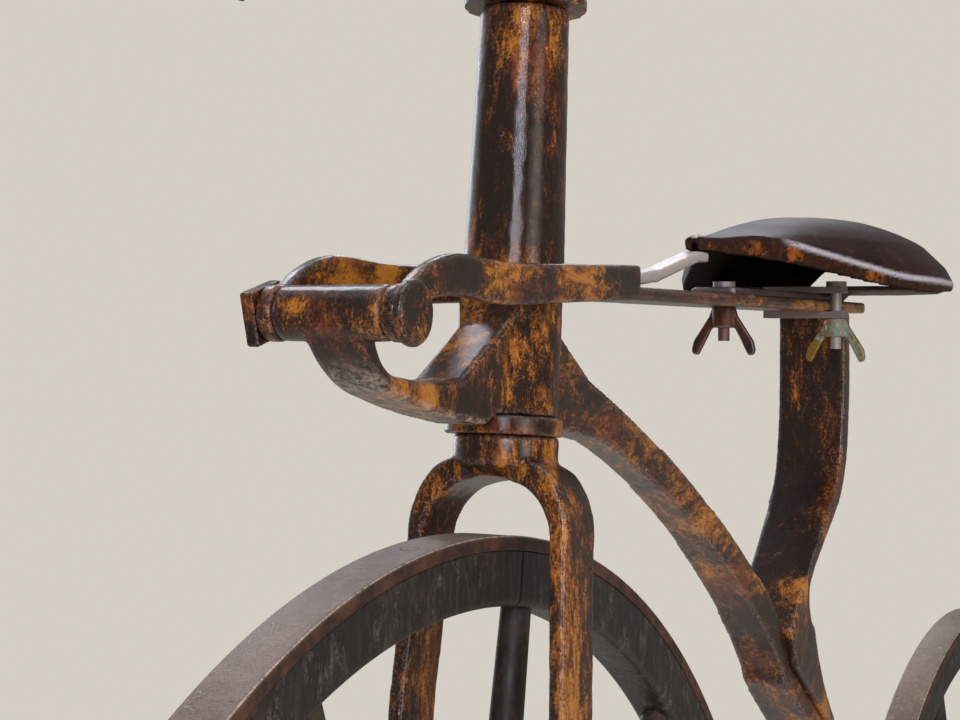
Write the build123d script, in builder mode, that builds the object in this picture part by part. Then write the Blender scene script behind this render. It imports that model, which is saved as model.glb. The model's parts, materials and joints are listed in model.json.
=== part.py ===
"""A front-pedalled velocipede with iron-tyred wooden wheels, in millimetres.

+X points forward, +Y to the vehicle's left and +Z up. The origin is the rider's
place on top of the saddle.
"""

from build123d import *
from math import cos, radians, sin, sqrt
import os

# Driving sizes of the layout
front_wheel_r = 457.2
rear_wheel_r = 380.0
wheelbase = 1040.2
head_before_saddle = 449.2
head_below_saddle = 132.5

# Clearances
seat_gap = 0.2
running_gap = 0.1
side_play = 1.0
crown_clearance = 30.8

# Wheels
tyre_thick = 8.0
tyre_width = 30.0
tyre_bevel = 2.0
felloe_depth = 30.2
felloe_width = 29.0
felloe_bevel = 4.0
spoke_count = 12
spoke_first_angle = 10.0
spoke_root_r = 9.0
spoke_belly_r = 12.0
spoke_tip_r = 8.5
hub_belly_r = 52.0
hub_end_r = 40.0
hub_length = 84.0
hub_band_thick = 3.0
hub_band_width = 12.0

# Axles, cranks and pedals
axle_r = 11.0
axle_nut_flat = 30.0
axle_nut_thick = 12.0
crank_length = 150.0
crank_thick = 12.0
crank_hub_r = 22.0
crank_tip_r = 17.0
crank_clear_of_fork = 6.0
crank_pin_r = 7.0
pedal_length = 92.0
pedal_clear_of_crank = 5.0
pedal_flange_r = 24.0
pedal_flange_thick = 6.0
pedal_waist_r = 17.0

# Steering
rake = 4.63
fork_offset = 18.745
column_height = 221.2
column_foot_drop = 2.6
column_base_r = 27.6
column_swell_height = 82.0
column_top_r = 24.5
stem_r = 14.0
cap_r = 34.0
cap_thick = 12.0
cap_gap = 0.5
race_r = 32.0
race_forward = 4.0
race_thick = 9.9
race_gap = 1.0
neck_r = 28.8
neck_groove = 0.9
neck_ring_height = 3.2

# Fork, the arch measured down from the race and outward from the middle
blade_depth = 39.0
blade_thick = 10.4
blade_knee_thick = 9.5
blade_inner_half_knee = 43.3
blade_inner_half_axle = 47.5
blade_bevel = 1.8
arch_drop = 13.5
arch_inner_half = 37.8
arch_crown_thick = 9.5
arch_spring_drop = 44.5
knee_drop = 130.0
fork_eye_r = 23.0
fork_eye_thick = 16.0

# Nose bracket on the head
barrel_forward = 178.8
barrel_up = 36.0
barrel_r = 13.4
barrel_half = 29.2
bolt_r = 7.5
bracket_half = 15.4
bracket_bevel = 2.4

# Yoke and saddle spring
yoke_side_gap = 0.7
yoke_thick = 8.5
yoke_eye_r = 13.9
yoke_length = 269.5
yoke_bridge_gap = 19.0
bolt_head_r = 15.8
bolt_head_thick = 5.0
bolt_head_dome = 1.6
yoke_nut_flat = 26.8
yoke_nut_turn = 15.0
yoke_nut_thick = 7.5
yoke_nut_bevel = 2.5
spring_thick = 8.5
spring_half = 22.0
spring_rise = 12.6
spring_rear_overhang = 60.0
yoke_end_top = 32.5
yoke_end_under = 12.2

# Saddle iron, leather and clamps
iron_thick = 5.0
strap_half = 16.0
nose_stay_half = 7.0
nose_stay_thick = 7.0
nose_stay_top = -33.9
nose_stay_front = 186.0
nose_stay_foot_length = 46.0
nose_stay_gap = 6.0
cantle_top = -49.2
cantle_inset = 6.0
leather_thick = 4.5
clamp_behind_yoke = 230.0
clamp_bolt_r = 4.0
clamp_head_thick = 4.0
clamp_bolt_side = 27.5
clamp_plate_half = 34.0
clamp_before_pillar = 16.0
clamp_plate_depth = 16.0
clamp_bolt_past_nut = 9.0
wing_hub_r = 8.0
wing_hub_height = 14.0
wing_span = 46.0
wing_drop = 33.0
wing_thick = 4.5

# Backbone, its reach and fall from the head's foot to the low end of the pillar's seat
bone_reach = 420.2
bone_fall = 196.0
bone_root_height = 64.5
bone_front_half = 10.5
bone_middle_half = 15.0
bone_rear_half = 21.0
stay_thick = 11.0
stay_depth = 26.0
stay_eye_r = 22.0
stay_hub_gap = 5.5
stay_wheel_gap = 27.0
stay_tyre_side_gap = 9.0

# Seat pillar
pillar_half = 26.5
pillar_foot_half = 23.0
pillar_thick = 14.0
pillar_foot_length = 100.0
pillar_toe_thick = 8.0
pillar_behind_spindle = 690.5

# Handlebar
bar_r = 9.5
bar_half_width = 235.0
bar_rise = 18.0
bar_sweep = 70.0
bar_straight_half = 62.0
bar_bend_r = 60.0
lug_r = 20.0
lug_height = 40.0
grip_r = 15.0
grip_length = 105.0
ferrule_length = 14.0
ferrule_thick = 3.0
grip_cap = 8.0

# Places worked out from the sizes above
rake_cos = cos(radians(rake))
rake_sin = sin(radians(rake))
steer_x = head_before_saddle
steer = Plane(
    origin=(head_before_saddle, 0, -head_below_saddle),
    x_dir=(rake_cos, 0, rake_sin),
    z_dir=(-rake_sin, 0, rake_cos),
)
race_top = -column_foot_drop - race_gap
race_under = race_top - race_thick
crown_reach = front_wheel_r + crown_clearance + arch_crown_thick + arch_drop
fork_length = sqrt(crown_reach**2 - fork_offset**2) - race_under
front_axle_point = steer.from_local_coords(Vector(fork_offset, 0, -fork_length))
front_x = front_axle_point.X
front_z = front_axle_point.Z
ground_z = front_z - front_wheel_r
rear_x = front_x - wheelbase
rear_z = ground_z + rear_wheel_r
steer_side = Plane(origin=steer.origin, x_dir=steer.x_dir, z_dir=(0, -1, 0))
head_side = Plane(origin=steer.origin, x_dir=(1, 0, 0), z_dir=(0, -1, 0))
spindle = steer.from_local_coords(Vector(barrel_forward, 0, barrel_up))
yoke_side = Plane(origin=spindle, x_dir=(1, 0, 0), z_dir=(0, -1, 0))
front_side = Plane(origin=(front_x, 0, front_z), x_dir=(1, 0, 0), z_dir=(0, -1, 0))
rear_side = Plane(origin=(rear_x, 0, rear_z), x_dir=(1, 0, 0), z_dir=(0, -1, 0))
fork_foot_half = blade_inner_half_axle + fork_eye_thick
crank_inner = fork_foot_half + crank_clear_of_fork
crank_outer = crank_inner + crank_thick
pedal_inner = crank_outer + pedal_clear_of_crank
pedal_outer = pedal_inner + pedal_length
yoke_inner_half = barrel_half + yoke_side_gap
yoke_outer_half = yoke_inner_half + yoke_thick
column_rear = steer.from_local_coords(Vector(-column_base_r, 0, barrel_up + yoke_end_top))
bridge_front = column_rear.X - spindle.X - yoke_bridge_gap
yoke_end_x = spindle.X - yoke_length
front_clamp_x = yoke_end_x - clamp_behind_yoke
spring_under_z = spindle.Z + spring_rise
spring_top_z = spring_under_z + spring_thick
pillar_x = spindle.X - pillar_behind_spindle
pillar_side = Plane(origin=(pillar_x, 0, spring_under_z), x_dir=(1, 0, 0), z_dir=(0, -1, 0))

os.makedirs("parts", exist_ok=True)


def save(piece, name):
    """Label one finished piece and write its file."""
    piece.part.label = name
    export_step(piece.part, f"parts/{name}.step")


# Wheels
def make_tyre(side, wheel_r):
    """Iron hoop with bevelled tread edges."""
    with BuildPart() as tyre:
        with BuildSketch(side):
            Circle(wheel_r)
            Circle(wheel_r - tyre_thick, mode=Mode.SUBTRACT)
        extrude(amount=tyre_width / 2, both=True)
        rims = tyre.edges().filter_by(GeomType.CIRCLE).sort_by(SortBy.RADIUS)[-2:]
        chamfer(rims, tyre_bevel)
    return tyre


def make_felloe(side, wheel_r):
    """Wooden rim inside the tyre, its inner edges bevelled."""
    outer_r = wheel_r - tyre_thick - seat_gap
    inner_r = wheel_r - tyre_thick - felloe_depth
    with BuildPart() as felloe:
        with BuildSketch(side):
            Circle(outer_r)
            Circle(inner_r, mode=Mode.SUBTRACT)
        extrude(amount=felloe_width / 2, both=True)
        rims = felloe.edges().filter_by(GeomType.CIRCLE).sort_by(SortBy.RADIUS)[:2]
        chamfer(rims, felloe_bevel)
    return felloe


def make_spokes(side, wheel_r):
    """Turned wooden spokes that swell between the hub and the felloe."""
    tip = wheel_r - tyre_thick - felloe_depth - seat_gap
    root = hub_belly_r + seat_gap
    belly = root + 0.42 * (tip - root)
    with BuildPart() as spokes:
        for number in range(spoke_count):
            angle = radians(spoke_first_angle + 360.0 * number / spoke_count)
            outward = Vector(-sin(angle), 0, cos(angle))
            spoke_plane = Plane(origin=side.origin, x_dir=outward, z_dir=(0, -1, 0))
            with BuildSketch(spoke_plane):
                with BuildLine():
                    Polyline(
                        (root, 0),
                        (root, spoke_root_r),
                        (belly, spoke_belly_r),
                        (tip, spoke_tip_r),
                        (tip, 0),
                        close=True,
                    )
                make_face()
            revolve(axis=Axis(side.origin, outward))
    return spokes


def make_hub(side):
    """Turned wooden hub with a running bore and a shoulder for each band."""
    half = hub_length / 2
    seat_r = hub_end_r - hub_band_thick
    with BuildPart() as hub:
        with BuildSketch(Plane(origin=side.origin, x_dir=(0, 1, 0), z_dir=(-1, 0, 0))):
            with BuildLine():
                Line((-half, axle_r + running_gap), (-half, seat_r))
                Line((-half, seat_r), (-half + hub_band_width, seat_r))
                Line((-half + hub_band_width, seat_r), (-half + hub_band_width, hub_end_r))
                Line((-half + hub_band_width, hub_end_r), (-felloe_width / 2, hub_belly_r))
                Line((-felloe_width / 2, hub_belly_r), (felloe_width / 2, hub_belly_r))
                Line((felloe_width / 2, hub_belly_r), (half - hub_band_width, hub_end_r))
                Line((half - hub_band_width, hub_end_r), (half - hub_band_width, seat_r))
                Line((half - hub_band_width, seat_r), (half, seat_r))
                Line((half, seat_r), (half, axle_r + running_gap))
                Line((half, axle_r + running_gap), (-half, axle_r + running_gap))
            make_face()
        revolve(axis=Axis(side.origin, (0, 1, 0)))
    return hub


def make_hub_bands(side):
    """Two iron bands shrunk on the hub's ends."""
    half = hub_length / 2
    with BuildPart() as bands:
        for way in (-1, 1):
            band_plane = side.offset(way * (half - hub_band_width / 2))
            with BuildSketch(band_plane):
                Circle(hub_end_r)
                Circle(hub_end_r - hub_band_thick + seat_gap, mode=Mode.SUBTRACT)
            extrude(amount=hub_band_width / 2 - seat_gap / 2, both=True)
    return bands


wheels = (("front", front_side, front_wheel_r), ("rear", rear_side, rear_wheel_r))
for wheel_name, wheel_side, wheel_radius in wheels:
    save(make_tyre(wheel_side, wheel_radius), f"{wheel_name}_tyre")
    save(make_felloe(wheel_side, wheel_radius), f"{wheel_name}_felloe")
    save(make_spokes(wheel_side, wheel_radius), f"{wheel_name}_spokes")
    save(make_hub(wheel_side), f"{wheel_name}_hub")
    save(make_hub_bands(wheel_side), f"{wheel_name}_hub_bands")

# Front axle with the crank arms' squared seats left round
with BuildPart() as front_axle:
    with BuildSketch(front_side):
        Circle(axle_r)
    extrude(amount=crank_outer + 3.0, both=True)
save(front_axle, "front_axle")

# Cranks, the left one forward and the right one rearward, each with its pedal pin
for crank_name, way in (("left", 1), ("right", -1)):
    crank_plane = front_side.offset(-way * crank_inner)
    with BuildPart() as crank:
        with BuildSketch(crank_plane):
            with Locations((0, 0)):
                Circle(crank_hub_r)
            with Locations((way * crank_length, 0)):
                Circle(crank_tip_r)
            make_hull()
            with Locations((0, 0)):
                Circle(axle_r + running_gap, mode=Mode.SUBTRACT)
        extrude(amount=-way * crank_thick)
        with BuildSketch(front_side.offset(-way * (crank_outer - 0.5))):
            with Locations((way * crank_length, 0)):
                Circle(crank_pin_r)
        extrude(amount=-way * (pedal_length + pedal_clear_of_crank + 8.0))
        with BuildSketch(front_side.offset(-way * (pedal_outer + side_play))):
            with Locations((way * crank_length, 0)):
                Circle(crank_pin_r + 4.0)
        extrude(amount=-way * 5.0)
    save(crank, f"crank_{crank_name}")

    with BuildPart() as pedal:
        pin_plane = Plane(
            origin=(front_x + way * crank_length, way * pedal_inner, front_z),
            x_dir=(0, way, 0),
            z_dir=(1, 0, 0),
        )
        with BuildSketch(pin_plane):
            with BuildLine():
                Line((0, crank_pin_r + running_gap), (0, pedal_flange_r))
                Line((0, pedal_flange_r), (pedal_flange_thick, pedal_flange_r))
                Line((pedal_flange_thick, pedal_flange_r), (pedal_flange_thick, pedal_waist_r + 2))
                ThreePointArc(
                    (pedal_flange_thick, pedal_waist_r + 2),
                    (pedal_length / 2, pedal_waist_r),
                    (pedal_length - pedal_flange_thick, pedal_waist_r + 2),
                )
                Line(
                    (pedal_length - pedal_flange_thick, pedal_waist_r + 2),
                    (pedal_length - pedal_flange_thick, pedal_flange_r),
                )
                Line((pedal_length - pedal_flange_thick, pedal_flange_r), (pedal_length, pedal_flange_r))
                Line((pedal_length, pedal_flange_r), (pedal_length, crank_pin_r + running_gap))
                Line((pedal_length, crank_pin_r + running_gap), (0, crank_pin_r + running_gap))
            make_face()
        revolve(axis=Axis(pin_plane.origin, (0, 1, 0)))
    save(pedal, f"pedal_{crank_name}")

# Fork: crown arch, flat blades and axle eyes in the leaning plane of the blades
crown_point = steer.from_local_coords(Vector(0, 0, race_under))
blade_run = (crown_point - front_axle_point).normalized()
fork_face = Plane(
    origin=front_axle_point,
    x_dir=(0, 1, 0),
    z_dir=Vector(0, 1, 0).cross(blade_run),
)
arch_top = crown_reach - arch_drop
arch_under = arch_top - arch_crown_thick
arch_spring = arch_top - arch_spring_drop
knee = arch_top - knee_drop
arch_outer_half = arch_inner_half + blade_thick
with BuildPart() as fork:
    with BuildSketch(fork_face) as arch_face:
        with BuildLine():
            Line((0, arch_top), (0, arch_under))
            ThreePointArc(
                (0, arch_under),
                (0.25 * arch_inner_half, arch_under - 0.035 * arch_spring_drop),
                (0.54 * arch_inner_half, arch_under - 0.11 * arch_spring_drop),
            )
            ThreePointArc(
                (0.54 * arch_inner_half, arch_under - 0.11 * arch_spring_drop),
                (0.87 * arch_inner_half, arch_under - 0.378 * arch_spring_drop),
                (arch_inner_half, arch_spring),
            )
            Line((arch_inner_half, arch_spring), (blade_inner_half_knee, knee))
            Line((blade_inner_half_knee, knee), (blade_inner_half_axle, 0))
            Line((blade_inner_half_axle, 0), (blade_inner_half_axle + blade_thick, 0))
            Line(
                (blade_inner_half_axle + blade_thick, 0),
                (blade_inner_half_knee + blade_knee_thick, knee),
            )
            Line((blade_inner_half_knee + blade_knee_thick, knee), (arch_outer_half, arch_spring))
            ThreePointArc(
                (arch_outer_half, arch_spring),
                (0.94 * arch_outer_half, arch_top - 0.506 * arch_spring_drop),
                (0.724 * arch_outer_half, arch_top - 0.126 * arch_spring_drop),
            )
            ThreePointArc(
                (0.724 * arch_outer_half, arch_top - 0.126 * arch_spring_drop),
                (0.575 * arch_outer_half, arch_top - 0.034 * arch_spring_drop),
                (0.40 * arch_outer_half, arch_top),
            )
            Line((0.40 * arch_outer_half, arch_top), (0, arch_top))
        make_face()
        mirror(about=Plane.YZ)
    extrude(amount=blade_depth / 2 - blade_bevel, both=True)
    for way in (-1, 1):
        with BuildSketch(fork_face.offset(way * (blade_depth / 2 - blade_bevel))):
            add(arch_face.sketch_local)
        extrude(amount=way * blade_bevel, taper=45)
    for way in (-1, 1):
        with BuildSketch(front_side.offset(way * blade_inner_half_axle)):
            Circle(fork_eye_r)
        extrude(amount=way * fork_eye_thick)
    with BuildSketch(steer_side):
        with BuildLine():
            Polyline(
                (0, race_under),
                (neck_r - neck_groove, race_under),
                (neck_r - neck_groove, race_under - neck_groove),
                (neck_r, race_under - neck_groove),
                (neck_r, race_under - neck_groove - neck_ring_height),
                (neck_r - neck_groove, race_under - neck_groove - neck_ring_height),
                (neck_r - neck_groove, race_under - 2 * neck_groove - neck_ring_height),
                (neck_r, race_under - 2 * neck_groove - neck_ring_height),
                (neck_r, race_under - arch_drop - 2.0),
                (0.72 * neck_r, race_under - arch_drop - arch_crown_thick),
                (0, race_under - arch_drop - arch_crown_thick),
                close=True,
            )
        make_face()
    revolve(axis=Axis(steer.origin, steer.z_dir))
    with BuildSketch(front_side):
        Circle(axle_r + running_gap)
    extrude(amount=fork_foot_half + 1, both=True, mode=Mode.SUBTRACT)
save(fork, "fork")

# Race: a collar between the fork and the head, set a little forward
with BuildPart() as head_race:
    with BuildSketch(steer.offset(race_under)):
        with Locations((race_forward, 0)):
            Circle(race_r)
        Circle(stem_r + seat_gap, mode=Mode.SUBTRACT)
    extrude(amount=race_thick)
save(head_race, "head_race")

with BuildPart() as steering_stem:
    with BuildSketch(steer.offset(race_under)):
        Circle(stem_r)
    extrude(amount=column_height + cap_gap + cap_thick - race_under)
save(steering_stem, "steering_stem")

with BuildPart() as head_cap:
    with BuildSketch(steer.offset(column_height + cap_gap)):
        Circle(cap_r)
        Circle(stem_r + seat_gap, mode=Mode.SUBTRACT)
    extrude(amount=cap_thick)
    cap_rim = head_cap.faces().sort_by(Axis(steer.origin, steer.z_dir))[-1].edges()
    chamfer(cap_rim.sort_by(SortBy.RADIUS)[-1], cap_thick * 0.45)
save(head_cap, "head_cap")

# Handlebar lug, bent bar, ferrules and wooden grips, in the steering plane
bar_plane = steer.offset(column_height + cap_gap + cap_thick + lug_height / 2)
with BuildPart() as handlebar_lug:
    with BuildSketch(steer.offset(column_height + cap_gap + cap_thick)):
        Circle(lug_r)
    extrude(amount=lug_height)
    with BuildSketch(Plane(origin=bar_plane.origin, x_dir=bar_plane.x_dir, z_dir=(0, 1, 0))):
        Circle(bar_r + seat_gap)
    extrude(amount=lug_r + 1, both=True, mode=Mode.SUBTRACT)
save(handlebar_lug, "handlebar_lug")

bar_end = Vector(-bar_sweep, bar_half_width, bar_rise)
bar_bend = Vector(0, bar_straight_half, 0)
with BuildPart() as handlebar:
    with BuildLine(bar_plane) as bar_line:
        FilletPolyline(
            (bar_end.X, -bar_end.Y, bar_end.Z),
            (bar_bend.X, -bar_bend.Y, bar_bend.Z),
            (bar_bend.X, bar_bend.Y, bar_bend.Z),
            (bar_end.X, bar_end.Y, bar_end.Z),
            radius=bar_bend_r,
        )
    with BuildSketch(Plane(origin=bar_line.line @ 0, z_dir=bar_line.line % 0)):
        Circle(bar_r)
    sweep()
save(handlebar, "handlebar")

for side_name, way in (("left", 1), ("right", -1)):
    end_point = bar_plane.from_local_coords(Vector(bar_end.X, way * bar_end.Y, bar_end.Z))
    bend_point = bar_plane.from_local_coords(Vector(bar_bend.X, way * bar_bend.Y, bar_bend.Z))
    outward = (end_point - bend_point).normalized()
    grip_start = end_point - outward * (grip_length - grip_cap)
    across = Vector(0, 0, 1).cross(outward).normalized()
    grip_plane = Plane(origin=grip_start, x_dir=outward, z_dir=across)
    with BuildPart() as grip:
        with BuildSketch(grip_plane):
            with BuildLine():
                Line((0, bar_r + seat_gap), (0, 12.5))
                Line((0, 12.5), (grip_length * 0.55, grip_r))
                Line((grip_length * 0.55, grip_r), (grip_length, 11.0))
                Line((grip_length, 11.0), (grip_length, 0))
                Line((grip_length, 0), (grip_length - grip_cap + seat_gap, 0))
                Line(
                    (grip_length - grip_cap + seat_gap, 0),
                    (grip_length - grip_cap + seat_gap, bar_r + seat_gap),
                )
                Line((grip_length - grip_cap + seat_gap, bar_r + seat_gap), (0, bar_r + seat_gap))
            make_face()
        revolve(axis=Axis(grip_start, outward))
    save(grip, f"grip_{side_name}")

    with BuildPart() as ferrule:
        with BuildSketch(Plane(origin=grip_start - outward * (ferrule_length + seat_gap), z_dir=outward)):
            Circle(bar_r + ferrule_thick)
            Circle(bar_r + seat_gap, mode=Mode.SUBTRACT)
        extrude(amount=ferrule_length)
    save(ferrule, f"ferrule_{side_name}")

# Steering head: tapered column, gusset, nose bracket and cross barrel in one forging
with BuildPart() as bracket_bar:
    with BuildSketch(steer_side) as bracket_face:
        with BuildLine():
            Polyline(
                (0, -column_foot_drop),
                (race_r + race_forward + race_gap, -column_foot_drop),
                (race_r + race_forward + 2.5, -column_foot_drop - 1.2),
                (0.272 * barrel_forward, -9.2),
                (0.310 * barrel_forward, -10.1),
                (0.454 * barrel_forward, -8.5),
            )
            ThreePointArc(
                (0.454 * barrel_forward, -8.5),
                (0.65 * barrel_forward, -4.9),
                (0.81 * barrel_forward, -0.3),
            )
            ThreePointArc(
                (0.81 * barrel_forward, -0.3),
                (0.936 * barrel_forward, 8.4),
                (barrel_forward + 6.0, barrel_up - 12.5),
            )
            Polyline(
                (barrel_forward + 6.0, barrel_up - 12.5),
                (barrel_forward, barrel_up),
                (barrel_forward - barrel_r + 1.2, barrel_up - 3.0),
                (barrel_forward - barrel_r + 1.4, barrel_up - 12.5),
            )
            ThreePointArc(
                (barrel_forward - barrel_r + 1.4, barrel_up - 12.5),
                (0.88 * barrel_forward, 12.9),
                (0.79 * barrel_forward, 8.9),
            )
            ThreePointArc(
                (0.79 * barrel_forward, 8.9),
                (0.665 * barrel_forward, 8.3),
                (0.447 * barrel_forward, 11.9),
            )
            Polyline(
                (0.447 * barrel_forward, 11.9),
                (0.332 * barrel_forward, 26.0),
                (0.194 * barrel_forward, 43.5),
            )
            ThreePointArc(
                (0.194 * barrel_forward, 43.5),
                (0.162 * barrel_forward, 51.0),
                (0.139 * barrel_forward, 62.0),
            )
            Polyline((0.139 * barrel_forward, 62.0), (0, 62.0), (0, -column_foot_drop))
        make_face()
    extrude(amount=bracket_half - bracket_bevel, both=True)
    for way in (-1, 1):
        with BuildSketch(steer_side.offset(way * (bracket_half - bracket_bevel))):
            add(bracket_face.sketch_local)
        extrude(amount=way * bracket_bevel, taper=45)

with BuildPart() as bracket_root:
    with BuildSketch(steer_side):
        add(bracket_face.sketch_local)
    extrude(amount=column_base_r, both=True)
    with BuildSketch(steer.offset(-50)):
        Polygon(
            (0, -column_base_r + 0.2),
            (0.43 * column_base_r, -0.92 * column_base_r),
            (0.80 * column_base_r, -0.76 * column_base_r),
            (1.15 * column_base_r, -bracket_half),
            (1.30 * column_base_r, -bracket_half + bracket_bevel),
            (1.30 * column_base_r, bracket_half - bracket_bevel),
            (1.15 * column_base_r, bracket_half),
            (0.80 * column_base_r, 0.76 * column_base_r),
            (0.43 * column_base_r, 0.92 * column_base_r),
            (0, column_base_r - 0.2),
            align=None,
        )
    extrude(amount=150, mode=Mode.INTERSECT)

with BuildPart() as steering_head:
    with BuildSketch(steer_side):
        with BuildLine():
            Polyline(
                (0, -column_foot_drop),
                (column_base_r, -column_foot_drop),
                (column_base_r, column_swell_height),
                (column_top_r, column_height - 2.0),
                (column_top_r - 1.5, column_height),
                (0, column_height),
                close=True,
            )
        make_face()
    revolve(axis=Axis(steer.origin, steer.z_dir))
    add(bracket_bar.part)
    add(bracket_root.part)
    with BuildSketch(yoke_side):
        Circle(barrel_r)
    extrude(amount=barrel_half, both=True)
    with BuildSketch(yoke_side):
        Circle(bolt_r + seat_gap)
    extrude(amount=barrel_half + 1, both=True, mode=Mode.SUBTRACT)
    with BuildSketch(steer.offset(-column_foot_drop)):
        Circle(stem_r + running_gap)
    extrude(amount=column_height + column_foot_drop + 1, mode=Mode.SUBTRACT)
save(steering_head, "steering_head")

# Spring yoke: two swan-necked arms, their eyes and the bridge over the spring
with BuildPart() as spring_yoke:
    for way in (-1, 1):
        with BuildSketch(yoke_side.offset(-way * yoke_inner_half)):
            with BuildLine():
                top_swell = ThreePointArc((-1.5, 12.5), (-26.0, 25.2), (-62.0, 29.8))
                TangentArc((-62.0, 29.8), (-112.0, 27.6), tangent=top_swell % 1)
                Line((-112.0, 27.6), (-yoke_length, yoke_end_top))
                Line((-yoke_length, yoke_end_top), (-yoke_length, yoke_end_under))
                Line((-yoke_length, yoke_end_under), (-150.0, 7.6))
                ThreePointArc((-150.0, 7.6), (-104.0, 5.9), (-78.0, 6.8))
                ThreePointArc((-78.0, 6.8), (-52.0, 9.0), (-24.0, 6.9))
                Line((-24.0, 6.9), (-10.0, -9.0))
                Line((-10.0, -9.0), (-1.5, 12.5))
            make_face()
            Circle(yoke_eye_r)
            Circle(bolt_r + seat_gap, mode=Mode.SUBTRACT)
        extrude(amount=-way * yoke_thick)
    with BuildSketch(yoke_side):
        with BuildLine():
            Polyline(
                (-yoke_length, spring_rise + spring_thick),
                (-yoke_length, yoke_end_top - 1.0),
                (bridge_front, yoke_end_top - 2.0),
                (bridge_front, spring_rise + spring_thick),
                close=True,
            )
        make_face()
    extrude(amount=yoke_inner_half, both=True)
save(spring_yoke, "spring_yoke")

# Cross bolt with its round head on the left, and the square nut on the right
with BuildPart() as yoke_bolt:
    with BuildSketch(yoke_side.offset(-yoke_outer_half)):
        Circle(bolt_r)
    extrude(amount=2 * yoke_outer_half + yoke_nut_thick + 3.0)
    with BuildSketch(yoke_side.offset(-yoke_outer_half)):
        Circle(bolt_head_r)
    extrude(amount=-bolt_head_thick)
    head_rim = yoke_bolt.faces().sort_by(Axis.Y)[-1].edges()
    chamfer(head_rim, bolt_head_dome)
save(yoke_bolt, "yoke_bolt")

with BuildPart() as yoke_nut:
    with BuildSketch(yoke_side.offset(yoke_outer_half)):
        Rectangle(yoke_nut_flat, yoke_nut_flat, rotation=-yoke_nut_turn)
        Circle(bolt_r + seat_gap, mode=Mode.SUBTRACT)
    extrude(amount=yoke_nut_thick)
    nut_edges = yoke_nut.faces().sort_by(Axis.Y)[0].edges().filter_by(GeomType.LINE)
    chamfer(nut_edges, yoke_nut_bevel * 0.5)
save(yoke_nut, "yoke_nut")

# Backbone: side outline cut to its plan outline, forked round the rear wheel
def along_bone(back, down):
    """A point of the backbone's side view as shares of its reach and fall."""
    return Vector(-back * bone_reach, -down * bone_fall, 0)


rear_axle_point = Vector(rear_x, 0, rear_z)
bone_bend = along_bone(0.957, 0.824)
bone_seat_low = along_bone(1, 1)
bone_brow = along_bone(0.205, -0.079)
bone_shoulder = along_bone(0.8905, 0.691)
bone_belly = along_bone(0.8263, 0.7418)
bone_throat = along_bone(0.2518, 0.1056)
bone_root = Vector(-0.8 * column_base_r, 0, 0)
bone_root_top = Vector(-0.33 * column_base_r, bone_root_height, 0)
stay_start = head_side.from_local_coords(along_bone(0.985, 1.02))
stay_run = (rear_axle_point - stay_start).normalized()
stay_up = stay_run.cross(Vector(0, -1, 0))
rear_top = head_side.to_local_coords(rear_axle_point + stay_up * stay_depth / 2)
rear_under = head_side.to_local_coords(rear_axle_point - stay_up * stay_depth / 2)
crotch = rear_axle_point - stay_run * (rear_wheel_r + stay_wheel_gap)
stay_tyre_half = tyre_width / 2 + stay_tyre_side_gap
stay_axle_half = hub_length / 2 + stay_hub_gap
with BuildPart() as backbone:
    with BuildSketch(head_side):
        with BuildLine():
            Polyline(bone_root, bone_root_top, bone_brow)
            ThreePointArc(bone_brow, along_bone(0.548, 0.242), bone_shoulder)
            Polyline(
                bone_shoulder,
                bone_bend,
                bone_seat_low,
                (rear_top.X, rear_top.Y),
                (rear_under.X, rear_under.Y),
                along_bone(0.9745, 1.0536),
                along_bone(0.9595, 0.996),
                along_bone(0.9048, 0.8765),
                bone_belly,
            )
            ThreePointArc(bone_belly, along_bone(0.555, 0.3765), bone_throat)
            Polyline(bone_throat, along_bone(0.1885, 0.0857), along_bone(0.1171, 0.0612), bone_root)
        make_face()
    extrude(amount=100, both=True)
    with BuildSketch(Plane.XY.offset(rear_z - rear_wheel_r)):
        Polygon(
            (steer_x, bone_front_half),
            (steer_x - 0.36 * bone_reach, bone_front_half),
            (steer_x - 0.83 * bone_reach, bone_middle_half),
            (crotch.X + 90, bone_rear_half),
            (crotch.X - 10, stay_tyre_half + stay_thick),
            (rear_x - stay_depth, stay_axle_half + stay_thick),
            (rear_x - stay_depth, -stay_axle_half - stay_thick),
            (crotch.X - 10, -stay_tyre_half - stay_thick),
            (crotch.X + 90, -bone_rear_half),
            (steer_x - 0.83 * bone_reach, -bone_middle_half),
            (steer_x - 0.36 * bone_reach, -bone_front_half),
            (steer_x, -bone_front_half),
            align=None,
        )
        with BuildLine():
            Line((rear_x - 60, -stay_axle_half), (rear_x - 60, stay_axle_half))
            Line((rear_x - 60, stay_axle_half), (rear_x, stay_axle_half))
            Line((rear_x, stay_axle_half), (crotch.X - 30, stay_tyre_half))
            ThreePointArc(
                (crotch.X - 30, stay_tyre_half),
                (crotch.X, 0),
                (crotch.X - 30, -stay_tyre_half),
            )
            Line((crotch.X - 30, -stay_tyre_half), (rear_x, -stay_axle_half))
            Line((rear_x, -stay_axle_half), (rear_x - 60, -stay_axle_half))
        make_face(mode=Mode.SUBTRACT)
    extrude(amount=1200, mode=Mode.INTERSECT)
    for way in (-1, 1):
        with BuildSketch(rear_side.offset(way * stay_axle_half)):
            Circle(stay_eye_r)
        extrude(amount=way * stay_thick)
    with BuildSketch(rear_side):
        Circle(axle_r + seat_gap)
    extrude(amount=stay_axle_half + stay_thick + 1, both=True, mode=Mode.SUBTRACT)
    with BuildSketch(steer.offset(-20)):
        Circle(column_base_r + seat_gap)
    extrude(amount=column_height, mode=Mode.SUBTRACT)
save(backbone, "backbone")

with BuildPart() as rear_axle:
    with BuildSketch(rear_side):
        Circle(axle_r)
    extrude(amount=stay_axle_half + stay_thick + axle_nut_thick + 4.0, both=True)
save(rear_axle, "rear_axle")

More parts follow.
